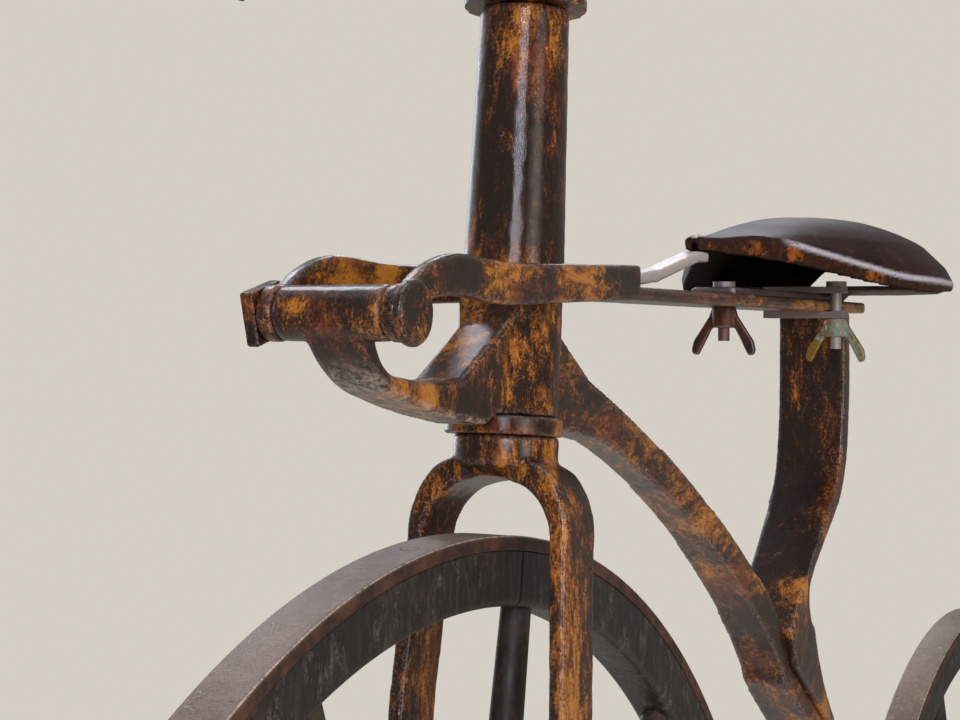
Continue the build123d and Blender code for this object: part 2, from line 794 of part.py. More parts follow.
with BuildPart() as rear_axle_nuts:
    for way in (-1, 1):
        with BuildSketch(rear_side.offset(way * (stay_axle_half + stay_thick + seat_gap))):
            RegularPolygon(axle_nut_flat / 2, 6, major_radius=False)
            Circle(axle_r + seat_gap, mode=Mode.SUBTRACT)
        extrude(amount=way * axle_nut_thick)
save(rear_axle_nuts, "rear_axle_nuts")

# Saddle spring: flat leaf from under the yoke's bridge to behind the pillar
with BuildPart() as saddle_spring:
    with BuildSketch(Plane.XY.offset(spring_under_z)):
        Polygon(
            (spindle.X + bridge_front, -spring_half),
            (spindle.X + bridge_front, spring_half),
            (pillar_x - spring_rear_overhang, spring_half),
            (pillar_x - spring_rear_overhang, -spring_half),
            align=None,
        )
        with Locations((front_clamp_x, 0)):
            Circle(clamp_bolt_r + seat_gap, mode=Mode.SUBTRACT)
    extrude(amount=spring_thick)
save(saddle_spring, "saddle_spring")

# Seat pillar: S-bent flat bar from its seat on the backbone up to the spring
seat_high = bone_bend + (bone_seat_low - bone_bend) * 0.17
pillar_seat_high = pillar_side.to_local_coords(head_side.from_local_coords(seat_high))
pillar_seat_low = pillar_side.to_local_coords(head_side.from_local_coords(bone_seat_low))
pillar_run = pillar_seat_low.X
pillar_drop = -pillar_seat_low.Y
pillar_front = pillar_thick / 2
bone_top_run = (rear_top - bone_seat_low).normalized()
pillar_toe = pillar_seat_low + bone_top_run * pillar_foot_length
pillar_toe_top = pillar_toe + Vector(bone_top_run.Y, -bone_top_run.X, 0) * pillar_toe_thick


def front_spot(run, drop):
    """A point of the pillar's front edge as shares of its run and drop."""
    return Vector(pillar_front + run * pillar_run, -drop * pillar_drop, 0)


def rear_spot(run, drop):
    """A point of the pillar's rear edge as shares of its run and drop."""
    return Vector(-pillar_front + run * pillar_run, -drop * pillar_drop, 0)


def foot_spot(back, rise):
    """A point of the pillar's foot as shares of the foot's length."""
    return pillar_seat_low + Vector(-back * pillar_foot_length, rise * pillar_foot_length, 0)


with BuildPart() as seat_pillar:
    with BuildSketch(pillar_side):
        with BuildLine():
            Line(rear_spot(0, 0), front_spot(0, 0))
            front_top = Line(front_spot(0, 0), front_spot(-0.016, 0.155))
            front_sweep = TangentArc(
                front_spot(-0.016, 0.155),
                front_spot(0.0305, 0.4125),
                tangent=front_top % 1,
            )
            TangentArc(
                front_spot(0.0305, 0.4125),
                front_spot(0.2305, 0.552),
                tangent=front_sweep % 1,
            )
            Polyline(
                front_spot(0.2305, 0.552),
                pillar_seat_high,
                pillar_seat_low,
                pillar_toe,
                pillar_toe_top,
            )
            ThreePointArc(pillar_toe_top, foot_spot(0.575, -0.155), foot_spot(0.37, 0.256))
            ThreePointArc(foot_spot(0.37, 0.256), foot_spot(0.25, 0.55), rear_spot(0.70, 0.722))
            Line(rear_spot(0.70, 0.722), rear_spot(0.275, 0.591))
            rear_top_line = Line(rear_spot(0, 0), rear_spot(-0.016, 0.153))
            rear_sweep = TangentArc(
                rear_spot(-0.016, 0.153),
                rear_spot(0.0326, 0.4217),
                tangent=rear_top_line % 1,
            )
            TangentArc(
                rear_spot(0.0326, 0.4217),
                rear_spot(0.275, 0.591),
                tangent=rear_sweep % 1,
            )
        make_face()
    extrude(amount=pillar_half + 1, both=True)
    with BuildSketch(Plane(origin=pillar_side.origin, x_dir=(0, 1, 0), z_dir=(1, 0, 0))):
        Polygon(
            (-pillar_foot_half, -1.2 * pillar_drop),
            (-pillar_foot_half, -0.8 * pillar_drop),
            (-pillar_half, -0.42 * pillar_drop),
            (-pillar_half, 1),
            (pillar_half, 1),
            (pillar_half, -0.42 * pillar_drop),
            (pillar_foot_half, -0.8 * pillar_drop),
            (pillar_foot_half, -1.2 * pillar_drop),
            align=None,
        )
    extrude(amount=400, both=True, mode=Mode.INTERSECT)
save(seat_pillar, "seat_pillar")

# Saddle outline, from the nose to the cantle, with heights from the rider's place
saddle_sections = (
    # place along the saddle, half width, crown height, rim height, lip height
    (182.0, 7.0, -23.9, -26.3, -33.6),
    (150.0, 15.0, -21.9, -23.2, -34.3),
    (110.0, 31.0, -17.8, -21.5, -36.9),
    (70.0, 49.0, -10.1, -29.3, -41.8),
    (-10.0, 87.0, 0.0, -45.2, -53.8),
    (-100.0, 98.0, 2.2, -47.6, -53.7),
    (-150.0, 80.0, -6.8, -45.2, -52.3),
    (-178.0, 42.0, -25.8, -44.8, -51.3),
)

# Iron under the saddle: strap on the spring, cantle plate, and a stay from the spring up to the nose
strap_z = spring_top_z
strap_top = strap_z + iron_thick
strap_front = front_clamp_x + 22.0
cantle_front = saddle_sections[4][0] - 70.0
cantle_rows = [row for row in saddle_sections if row[0] < cantle_front]
cantle_side = [(cantle_front, cantle_rows[0][1] - cantle_inset - 3.0)]
cantle_side += [(row[0], row[1] - cantle_inset) for row in cantle_rows]
cantle_outline = cantle_side + [(x, -half) for x, half in reversed(cantle_side)]
side_zero = Plane(origin=(0, 0, 0), x_dir=(1, 0, 0), z_dir=(0, -1, 0))
stay_foot_front = yoke_end_x - nose_stay_gap
stay_heel = stay_foot_front - nose_stay_foot_length
stay_knee = 0.35 * nose_stay_front + 0.65 * stay_heel
stay_knee_z = 0.24 * (nose_stay_top - nose_stay_thick) + 0.76 * strap_z
with BuildPart() as saddle_iron:
    with BuildSketch(side_zero):
        with BuildLine():
            Polyline(
                (strap_front, strap_z),
                (strap_front, strap_top),
                (cantle_front + 4.0, strap_top),
                (cantle_front - 16.0, cantle_top),
                (cantle_front - 30.0, cantle_top),
                (cantle_front - 30.0, cantle_top - iron_thick),
                (cantle_front - 10.0, strap_z),
                close=True,
            )
        make_face()
    extrude(amount=strap_half, both=True)
    with BuildSketch(side_zero):
        with BuildLine():
            Polyline(
                (stay_foot_front, strap_z),
                (stay_foot_front, strap_z + nose_stay_thick),
                (stay_heel + 1.0, strap_z + nose_stay_thick),
                (stay_knee + 4.0, stay_knee_z + nose_stay_thick),
                (stay_knee - 9.0, stay_knee_z + nose_stay_thick + 1.0),
                (nose_stay_front, nose_stay_top),
                (nose_stay_front - 16.0, nose_stay_top),
                (nose_stay_front - 16.0, nose_stay_top - nose_stay_thick + 2.0),
                (nose_stay_front - 14.0, nose_stay_top - nose_stay_thick),
                (nose_stay_front, nose_stay_top - nose_stay_thick),
                (stay_knee - 7.0, stay_knee_z),
                (stay_knee + 4.0, stay_knee_z - 1.0),
                (stay_heel, strap_z),
                close=True,
            )
        make_face()
    extrude(amount=nose_stay_half, both=True)
    with BuildSketch(Plane.XY.offset(cantle_top - iron_thick)):
        with BuildLine():
            Polyline(*cantle_outline, close=True)
        make_face()
    extrude(amount=iron_thick)
    with BuildSketch(Plane.XY.offset(strap_z - 1)):
        with Locations((front_clamp_x, 0)):
            Circle(clamp_bolt_r + seat_gap)
    extrude(amount=iron_thick + 2, mode=Mode.SUBTRACT)
save(saddle_iron, "saddle_iron")

# Saddle leather: arched sections from the nose to the cantle, with a turned-in lip
with BuildPart() as saddle_leather:
    for along, half_width, crown, rim, lip in saddle_sections:
        top_half = 0.75 * half_width
        shoulder_half = 0.93 * half_width
        shoulder = 0.58 * crown + 0.42 * rim
        brow = 0.25 * crown + 0.75 * rim
        inside_half = half_width - leather_thick
        inside_top = 0.75 * inside_half
        inside_crown = crown - leather_thick
        inside_shoulder = shoulder - leather_thick
        inside_rim = rim - 0.7 * leather_thick
        with BuildSketch(Plane(origin=(along, 0, 0), x_dir=(0, 1, 0), z_dir=(1, 0, 0))):
            with BuildLine():
                ThreePointArc((-top_half, shoulder), (0, crown), (top_half, shoulder))
                Polyline(
                    (top_half, shoulder),
                    (shoulder_half, brow),
                    (half_width, rim),
                    (half_width - 1.5, lip),
                    (inside_half - 1.5, lip),
                    (inside_half, inside_rim),
                    (inside_top, inside_shoulder),
                )
                ThreePointArc(
                    (inside_top, inside_shoulder),
                    (0, inside_crown),
                    (-inside_top, inside_shoulder),
                )
                Polyline(
                    (-inside_top, inside_shoulder),
                    (-inside_half, inside_rim),
                    (-inside_half + 1.5, lip),
                    (-half_width + 1.5, lip),
                    (-half_width, rim),
                    (-shoulder_half, brow),
                    (-top_half, shoulder),
                )
            make_face()
    loft()
save(saddle_leather, "saddle_leather")

# Saddle clamps: a middle bolt in front, and a stirrup round the spring with one bolt at the pillar
rear_clamp_x = pillar_x + pillar_thick / 2 + clamp_plate_depth / 2 + clamp_before_pillar
clamp_side = Plane(origin=(rear_clamp_x, 0, 0), x_dir=(0, 1, 0), z_dir=(1, 0, 0))
with BuildPart() as rear_clamp_plates:
    with BuildSketch(clamp_side):
        with BuildLine():
            Polyline(
                (clamp_plate_half, strap_top + iron_thick),
                (clamp_plate_half, strap_top),
                (-spring_half - seat_gap, strap_top),
                (-spring_half - seat_gap, spring_under_z),
                (clamp_plate_half, spring_under_z),
                (clamp_plate_half, spring_under_z - iron_thick),
                (-spring_half - iron_thick, spring_under_z - iron_thick),
                (-spring_half - iron_thick, strap_top + iron_thick),
                close=True,
            )
        make_face()
    extrude(amount=clamp_plate_depth / 2, both=True)
    with BuildSketch(Plane.XY.offset(spring_under_z - iron_thick - 1)):
        with Locations((rear_clamp_x, clamp_bolt_side)):
            Circle(clamp_bolt_r + seat_gap)
    extrude(amount=strap_top - spring_under_z + 2 * iron_thick + 2, mode=Mode.SUBTRACT)
save(rear_clamp_plates, "rear_clamp_plates")

front_head_z = strap_top
rear_head_z = strap_top + iron_thick
front_nut_z = spring_under_z
rear_nut_z = spring_under_z - iron_thick
clamps = (
    # name, place along, place across, bolt head height, nut height
    ("front", front_clamp_x, 0, front_head_z, front_nut_z),
    ("rear", rear_clamp_x, clamp_bolt_side, rear_head_z, rear_nut_z),
)
for clamp_name, spot_x, spot_y, head_z, nut_z in clamps:
    with BuildPart() as clamp_bolts:
        with BuildSketch(Plane.XY.offset(head_z)):
            with Locations((spot_x, spot_y)):
                Circle(clamp_bolt_r)
        extrude(amount=-(head_z - nut_z + wing_hub_height + clamp_bolt_past_nut))
        with BuildSketch(Plane.XY.offset(head_z)):
            with Locations((spot_x, spot_y)):
                Circle(clamp_bolt_r * 1.9)
        extrude(amount=clamp_head_thick)
    save(clamp_bolts, f"{clamp_name}_clamp_bolts")

    with BuildPart() as wing_nuts:
        with BuildSketch(Plane(origin=(spot_x, spot_y, nut_z), x_dir=(0, 1, 0), z_dir=(1, 0, 0))):
            with BuildLine():
                Polyline(
                    (0, 0),
                    (wing_hub_r, 0),
                    (wing_hub_r + 2.0, -6.0),
                    (wing_span / 2 - 1.5, -wing_drop + 10.0),
                    (wing_span / 2, -wing_drop + 4.0),
                    (wing_span / 2 - 1.2, -wing_drop + 1.0),
                    (wing_span / 2 - 4.5, -wing_drop),
                    (wing_hub_r + 0.5, -wing_hub_height),
                    (0, -wing_hub_height),
                    close=True,
                )
            make_face()
            mirror(about=Plane.YZ)
        extrude(amount=wing_thick / 2, both=True)
        with BuildSketch(Plane.XY.offset(nut_z)):
            with Locations((spot_x, spot_y)):
                Circle(wing_hub_r)
        extrude(amount=-wing_hub_height)
        with BuildSketch(Plane.XY.offset(nut_z + 1)):
            with Locations((spot_x, spot_y)):
                Circle(clamp_bolt_r + seat_gap)
        extrude(amount=-wing_hub_height - 2, mode=Mode.SUBTRACT)
    save(wing_nuts, f"{clamp_name}_wing_nuts")
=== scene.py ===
import json
import math

import bmesh
import bpy
import numpy as np
from mathutils import Matrix, Vector, noise


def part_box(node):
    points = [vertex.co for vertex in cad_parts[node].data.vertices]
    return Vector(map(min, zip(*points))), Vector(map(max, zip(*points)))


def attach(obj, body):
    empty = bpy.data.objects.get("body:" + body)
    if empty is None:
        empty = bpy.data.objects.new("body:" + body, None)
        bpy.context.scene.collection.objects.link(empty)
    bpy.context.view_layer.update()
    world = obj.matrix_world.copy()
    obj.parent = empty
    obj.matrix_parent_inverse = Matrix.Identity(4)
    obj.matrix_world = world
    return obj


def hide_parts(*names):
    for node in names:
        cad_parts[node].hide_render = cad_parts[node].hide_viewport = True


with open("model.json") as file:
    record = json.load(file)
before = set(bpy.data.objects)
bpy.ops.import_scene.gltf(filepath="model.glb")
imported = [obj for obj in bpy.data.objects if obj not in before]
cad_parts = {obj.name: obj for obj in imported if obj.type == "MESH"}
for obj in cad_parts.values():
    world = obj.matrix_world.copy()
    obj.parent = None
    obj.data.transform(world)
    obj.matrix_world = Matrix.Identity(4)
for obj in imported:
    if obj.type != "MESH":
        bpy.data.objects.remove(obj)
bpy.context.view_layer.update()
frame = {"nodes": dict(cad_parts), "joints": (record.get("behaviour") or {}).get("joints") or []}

# Places in the row frame, in metres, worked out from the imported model
MM = 0.001
joints = {joint["name"]: joint for joint in frame["joints"]}
FRONT_AXLE = Vector(joints["front_wheel_spin"]["pos_m"])
REAR_AXLE = Vector(joints["rear_wheel_spin"]["pos_m"])
HEAD_FOOT = Vector(joints["steering"]["pos_m"])
HEAD_UP = Vector(joints["steering"]["axis"]).normalized()
FRONT_R = (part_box("front_tyre")[1].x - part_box("front_tyre")[0].x) / 2
REAR_R = (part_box("rear_tyre")[1].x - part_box("rear_tyre")[0].x) / 2
GROUND = FRONT_AXLE.z - FRONT_R

# Camera at the photograph's viewpoint
CAMERA_PLACE = Vector((1.445, 0.510, -0.097))
CAMERA_YAW = math.radians(27.9)
CAMERA_PITCH = math.radians(0.4)
CAMERA_ROLL = math.radians(-0.4)
CAMERA_FOCAL_PX = 2050.0
PHOTO_WIDTH_PX = 960.0
SENSOR_MM = 36.0


def make_camera():
    """Camera with its axes from yaw, pitch and roll, and no shift."""
    forward = Vector((
        -math.cos(CAMERA_YAW) * math.cos(CAMERA_PITCH),
        -math.sin(CAMERA_YAW) * math.cos(CAMERA_PITCH),
        -math.sin(CAMERA_PITCH),
    ))
    right = forward.cross(Vector((0, 0, 1))).normalized()
    down = forward.cross(right)
    cos_roll, sin_roll = math.cos(CAMERA_ROLL), math.sin(CAMERA_ROLL)
    rolled_right = cos_roll * right + sin_roll * down
    rolled_down = -sin_roll * right + cos_roll * down
    data = bpy.data.cameras.new("photo_camera")
    data.sensor_width = SENSOR_MM
    data.lens = CAMERA_FOCAL_PX / PHOTO_WIDTH_PX * SENSOR_MM
    data.clip_start = 0.05
    camera = bpy.data.objects.new("photo_camera", data)
    turn = Matrix((rolled_right, -rolled_down, -forward)).transposed().to_4x4()
    camera.matrix_world = Matrix.Translation(CAMERA_PLACE) @ turn
    bpy.context.scene.collection.objects.link(camera)
    bpy.context.scene.camera = camera


# Node helpers
class Shader:
    """A small builder for one material's node tree."""

    def __init__(self, name):
        self.material = bpy.data.materials.new(name)
        self.material.use_nodes = True
        self.tree = self.material.node_tree
        self.tree.nodes.clear()
        self.out = self.tree.nodes.new("ShaderNodeOutputMaterial")
        self.surface = self.tree.nodes.new("ShaderNodeBsdfPrincipled")
        self.link(self.surface.outputs[0], self.out.inputs["Surface"])
        coords = self.tree.nodes.new("ShaderNodeTexCoord")
        self.place = coords.outputs["Object"]

    def link(self, a, b):
        self.tree.links.new(a, b)

    def feed(self, socket, value):
        if hasattr(value, "node"):
            self.link(value, socket)
        else:
            socket.default_value = value

    def mapped(self, scale=(1, 1, 1), turn=(0, 0, 0), shift=(0, 0, 0)):
        node = self.tree.nodes.new("ShaderNodeMapping")
        self.link(self.place, node.inputs["Vector"])
        node.inputs["Scale"].default_value = scale
        node.inputs["Rotation"].default_value = turn
        node.inputs["Location"].default_value = shift
        return node.outputs[0]

    def noise(self, scale, detail=4.0, rough=0.55, place=None, warp=0.0):
        node = self.tree.nodes.new("ShaderNodeTexNoise")
        self.link(place if place is not None else self.place, node.inputs["Vector"])
        node.inputs["Scale"].default_value = scale
        node.inputs["Detail"].default_value = detail
        node.inputs["Roughness"].default_value = rough
        node.inputs["Distortion"].default_value = warp
        return node.outputs["Fac"]

    def cells(self, scale):
        node = self.tree.nodes.new("ShaderNodeTexVoronoi")
        self.link(self.place, node.inputs["Vector"])
        node.inputs["Scale"].default_value = scale
        return node.outputs["Distance"]

    def math(self, operation, a, b=0.0):
        node = self.tree.nodes.new("ShaderNodeMath")
        node.operation = operation
        self.feed(node.inputs[0], a)
        self.feed(node.inputs[1], b)
        return node.outputs[0]

    def ramp(self, value, stops):
        node = self.tree.nodes.new("ShaderNodeValToRGB")
        self.link(value, node.inputs[0])
        marks = node.color_ramp.elements
        while len(marks) < len(stops):
            marks.new(0.5)
        for mark, (at, color) in zip(marks, stops):
            mark.position = at
            mark.color = (*color, 1) if hasattr(color, "__len__") else (color, color, color, 1)
        return node.outputs[0]

    def span(self, value, low, high, to_low=0.0, to_high=1.0):
        node = self.tree.nodes.new("ShaderNodeMapRange")
        self.feed(node.inputs["Value"], value)
        node.inputs["From Min"].default_value = low
        node.inputs["From Max"].default_value = high
        node.inputs["To Min"].default_value = to_low
        node.inputs["To Max"].default_value = to_high
        return node.outputs[0]

    def mix(self, factor, a, b):
        node = self.tree.nodes.new("ShaderNodeMix")
        node.data_type = "RGBA"
        self.feed(node.inputs["Factor"], factor)
        color_a, color_b = node.inputs[6], node.inputs[7]
        for socket, value in ((color_a, a), (color_b, b)):
            if hasattr(value, "node"):
                self.link(value, socket)
            else:
                socket.default_value = (*value, 1)
        return node.outputs[2]

    def attribute(self, name):
        node = self.tree.nodes.new("ShaderNodeAttribute")
        node.attribute_name = name
        return node.outputs["Fac"]

    def facing_up(self):
        """How far the surface looks upward, from its own normal."""
        coords = self.tree.nodes.new("ShaderNodeTexCoord")
        parts = self.tree.nodes.new("ShaderNodeSeparateXYZ")
        self.link(coords.outputs["Normal"], parts.inputs[0])
        return parts.outputs["Z"]

    def worn_edge(self):
        """How convex the surface is, above 0.5 on an edge."""
        node = self.tree.nodes.new("ShaderNodeNewGeometry")
        return node.outputs["Pointiness"]

    def bump(self, height, strength, distance):
        node = self.tree.nodes.new("ShaderNodeBump")
        node.inputs["Strength"].default_value = strength
        node.inputs["Distance"].default_value = distance
        self.link(height, node.inputs["Height"])
        return node.outputs[0]

    def varnish(self, weight, roughness, normal):
        """A thin clear coat with its own, smoother skin."""
        bsdf = self.surface.inputs
        self.feed(bsdf["Coat Weight"], weight)
        self.feed(bsdf["Coat Roughness"], roughness)
        self.link(normal, bsdf["Coat Normal"])

    def finish(self, color, roughness, normal=None, metallic=0.0, specular=0.5):
        bsdf = self.surface.inputs
        self.feed(bsdf["Base Color"], color if hasattr(color, "node") else (*color, 1))
        self.feed(bsdf["Roughness"], roughness)
        self.feed(bsdf["Metallic"], metallic)
        bsdf["Specular IOR Level"].default_value = specular
        if normal is not None:
            self.link(normal, bsdf["Normal"])
        return self.material


# Colours of the layered old finish, linear
SOOT = (0.0170, 0.0078, 0.0050)
UMBER = (0.0420, 0.0150, 0.0065)
OXBLOOD = (0.115, 0.018, 0.006)
RUST_BROWN = (0.150, 0.045, 0.0075)
AMBER = (0.380, 0.122, 0.011)
HONEY = (0.600, 0.235, 0.027)
# Scuff colour, pale enough to be painted light on the bracket's shaded underside
LIT_SCUFF_BEIGE = (0.680, 0.560, 0.470)
# Pale edge colour: worn paint and a painted highlight on arrises
PALE_EDGE_AND_HIGHLIGHT = (0.330, 0.270, 0.260)

# Colours of the iron, the wheels, the leather, the brass and the grips, linear
IRON_BROWN = (0.030, 0.019, 0.016)
IRON_RUST = (0.13, 0.040, 0.012)
# Pale bare iron: bare metal and a painted highlight
IRON_BARE_AND_GLINT = (0.52, 0.46, 0.45)
TREAD_LIGHT = (0.195, 0.136, 0.104)
TREAD_DARK = (0.125, 0.082, 0.060)
TREAD_RUB = (0.320, 0.250, 0.205)
TREAD_PIT = (0.105, 0.070, 0.053)
TREAD_GRAIN = (0.36, 0.28, 0.235)
TREAD_NICK = (0.50, 0.42, 0.37)
TREAD_RUST = (0.120, 0.050, 0.028)
SIDE_DARK = (0.030, 0.014, 0.010)
SIDE_RED = (0.105, 0.040, 0.024)
SIDE_FLECK = (0.22, 0.12, 0.085)
# Bright arris colour: worn iron and a painted highlight
ARRIS_WEAR_AND_HIGHLIGHT = (0.66, 0.56, 0.50)
TYRE_JOINT = (0.020, 0.012, 0.010)
WOOD_BLACK = (0.0075, 0.0058, 0.0052)
WOOD_WORN = (0.020, 0.0140, 0.0120)
WOOD_SCRATCH = (0.055, 0.045, 0.040)
WOOD_RUB = (0.130, 0.104, 0.090)
WOOD_BROWN = (0.075, 0.034, 0.020)
WOOD_EDGE = (0.120, 0.075, 0.055)
WOOD_JOINT = (0.004, 0.003, 0.003)
LEATHER_DARK = (0.021, 0.0090, 0.0090)
LEATHER_LIGHT = (0.040, 0.018, 0.018)
LEATHER_CREASE = (0.088, 0.048, 0.045)
SKIRT_DARK = (0.022, 0.009, 0.007)
SKIRT_BROWN = (0.065, 0.022, 0.010)
SKIRT_ORANGE = (0.300, 0.085, 0.014)
# Rim colour: worn leather and a painted highlight
RIM_WEAR_AND_SHEEN = (0.50, 0.47, 0.55)
# Underside colour: painted shade
LEATHER_UNDER_SHADE = (0.008, 0.005, 0.004)
BRASS_BRIGHT = (0.480, 0.290, 0.060)
BRASS_DULL = (0.230, 0.130, 0.038)
VERDIGRIS_DARK = (0.140, 0.200, 0.170)
VERDIGRIS_PALE = (0.280, 0.330, 0.300)
GRIP_DARK = (0.028, 0.012, 0.006)
GRIP_BROWN = (0.075, 0.030, 0.012)
GRIP_LIGHT = (0.13, 0.055, 0.022)

# The paint's patterns: noise scales per metre, the span of tone and the clear coat's weight
FLECK_SCALE, PIT_SCALE, BROKEN_SCALE = 700.0, 1300.0, 330.0
RED_SCALE, DRIP_SCALE, SCUFF_LIGHT_SCALE = 34.0, 62.0, 170.0
TONE_LOW, TONE_HIGH = 0.380, 0.668
COAT_WEIGHT, COAT_LOST = 0.62, 0.55


def worn_paint(name, stretch=(1, 1, 1), turn=(0, 0, 0), shift=(0, 0, 0),
               amber=0.5, zone=16.0, streak=150.0):
    """Amber and oxblood graining under a dark varnish that has flaked, streaked along the piece."""
    s = Shader(name)
    along = s.mapped(scale=stretch, turn=turn, shift=shift)
    # Darker where the surface faces up
    darker_facing_up = s.span(s.facing_up(), 0.25, 0.9, 0.0, 0.05)
    wear = s.math("SUBTRACT", s.attribute("wear"), darker_facing_up)
    zones = s.noise(zone, 2.0, 0.5, along, 0.6)
    streaks = s.noise(streak, 8.0, 0.72, along, 0.4)
    flecks = s.noise(FLECK_SCALE, 7.0, 0.80)
    pits = s.noise(PIT_SCALE, 4.0, 0.7)
    broken = s.noise(BROKEN_SCALE, 6.0, 0.75, along, 0.6)
    edge = s.span(s.worn_edge(), 0.505, 0.56)
    base = s.math("ADD", s.math("MULTIPLY", zones, 0.70), s.math("MULTIPLY", streaks, 0.30))
    base = s.math("ADD", base, s.math("MULTIPLY", wear, 0.9))
    base = s.math("ADD", base, 0.10 * (amber - 0.5))
    tone = s.span(base, TONE_LOW, TONE_HIGH)
    tone = s.math("ADD", tone, s.span(streaks, 0.3, 0.7, -0.24, 0.24))
    tone = s.math("ADD", tone, s.span(flecks, 0.3, 0.7, -0.50, 0.50))
    tone = s.math("ADD", tone, s.span(broken, 0.35, 0.65, -0.24, 0.24))
    # Edges lighter: partly wear, partly a painted highlight
    tone = s.math("ADD", tone, s.math("MULTIPLY", edge, 0.12))
    layers = s.ramp(tone, (
        (0.12, SOOT),
        (0.38, UMBER),
        (0.56, RUST_BROWN),
        (0.74, AMBER),
        (0.98, HONEY),
    ))
    red_place = s.mapped(scale=stretch, turn=turn, shift=(3.1, 1.7, 5.3))
    red = s.noise(RED_SCALE, 5.0, 0.62, red_place, 0.5)
    reddened = s.math("MULTIPLY", s.span(red, 0.52, 0.62, 0.0, 0.75), s.span(tone, 0.2, 0.5))
    layers = s.mix(reddened, layers, OXBLOOD)
    drip_place = s.mapped(scale=stretch, turn=turn, shift=(7.3, 2.2, 0.4))
    drips = s.noise(DRIP_SCALE, 8.0, 0.76, drip_place, 0.4)
    soot = s.math("SUBTRACT", drips, s.math("MULTIPLY", wear, 0.9))
    layers = s.mix(s.span(soot, 0.525, 0.60, 0.0, 0.85), layers, SOOT)
    layers = s.mix(s.span(pits, 0.58, 0.66, 0.0, 0.8), layers, SOOT)
    # Pale chips on edges: worn paint and a painted highlight
    edge_chips_and_glints = s.math("MULTIPLY", edge, s.span(flecks, 0.46, 0.54))
    layers = s.mix(s.math("MULTIPLY", edge_chips_and_glints, 0.6), layers, PALE_EDGE_AND_HIGHLIGHT)
    # Scuffs on the bracket's underside: bare paint and painted light
    broken_scuff_and_light = s.span(s.noise(SCUFF_LIGHT_SCALE, 8.0, 0.86), 0.47, 0.56)
    scuff_and_light = s.math("MULTIPLY", s.attribute("scuff_and_light"), broken_scuff_and_light)
    color = s.mix(scuff_and_light, layers, LIT_SCUFF_BEIGE)
    rough = s.math("ADD", s.span(tone, 0.3, 0.9, 0.30, 0.42), s.math("MULTIPLY", scuff_and_light, 0.3))
    height = s.math("ADD", s.math("MULTIPLY", tone, -0.5), s.math("MULTIPLY", streaks, 0.4))
    height = s.math("ADD", height, s.math("MULTIPLY", s.span(pits, 0.45, 0.66), -0.5))
    coat = s.math("SUBTRACT", COAT_WEIGHT, s.math("MULTIPLY", scuff_and_light, COAT_LOST))
    coat_rough = s.span(streaks, 0.35, 0.65, 0.06, 0.20)
    s.varnish(coat, coat_rough, s.bump(height, 0.12, 0.0004))
    return s.finish(color, rough, s.bump(height, 0.55, 0.0008), specular=0.11)


def dark_iron():
    """Old browned iron, pitted, with warm rust, and with pale bare metal, also a painted highlight, on
    edges and where it is polished.
    """
    s = Shader("browned_iron")
    blotch = s.noise(55.0, 6.0, 0.6)
    fine = s.noise(620.0, 4.0, 0.65)
    color = s.mix(s.span(blotch, 0.46, 0.62), IRON_BROWN, IRON_RUST)
    # Worn edges and polished spots turn pale: bare metal and a painted highlight
    shine = s.math("MULTIPLY", s.span(s.worn_edge(), 0.51, 0.58), 0.45)
    polish_and_glint = s.attribute("polish_and_glint")
    color = s.mix(s.math("MAXIMUM", shine, polish_and_glint), color, IRON_BARE_AND_GLINT)
    rough = s.span(s.math("ADD", blotch, s.math("MULTIPLY", fine, 0.4)), 0.4, 1.0, 0.32, 0.60)
    rough = s.math("SUBTRACT", rough, s.math("MULTIPLY", polish_and_glint, 0.10))
    metal = s.span(polish_and_glint, 0, 1, 0.35, 0.15)
    return s.finish(color, rough, s.bump(fine, 0.4, 0.0004), metallic=metal)


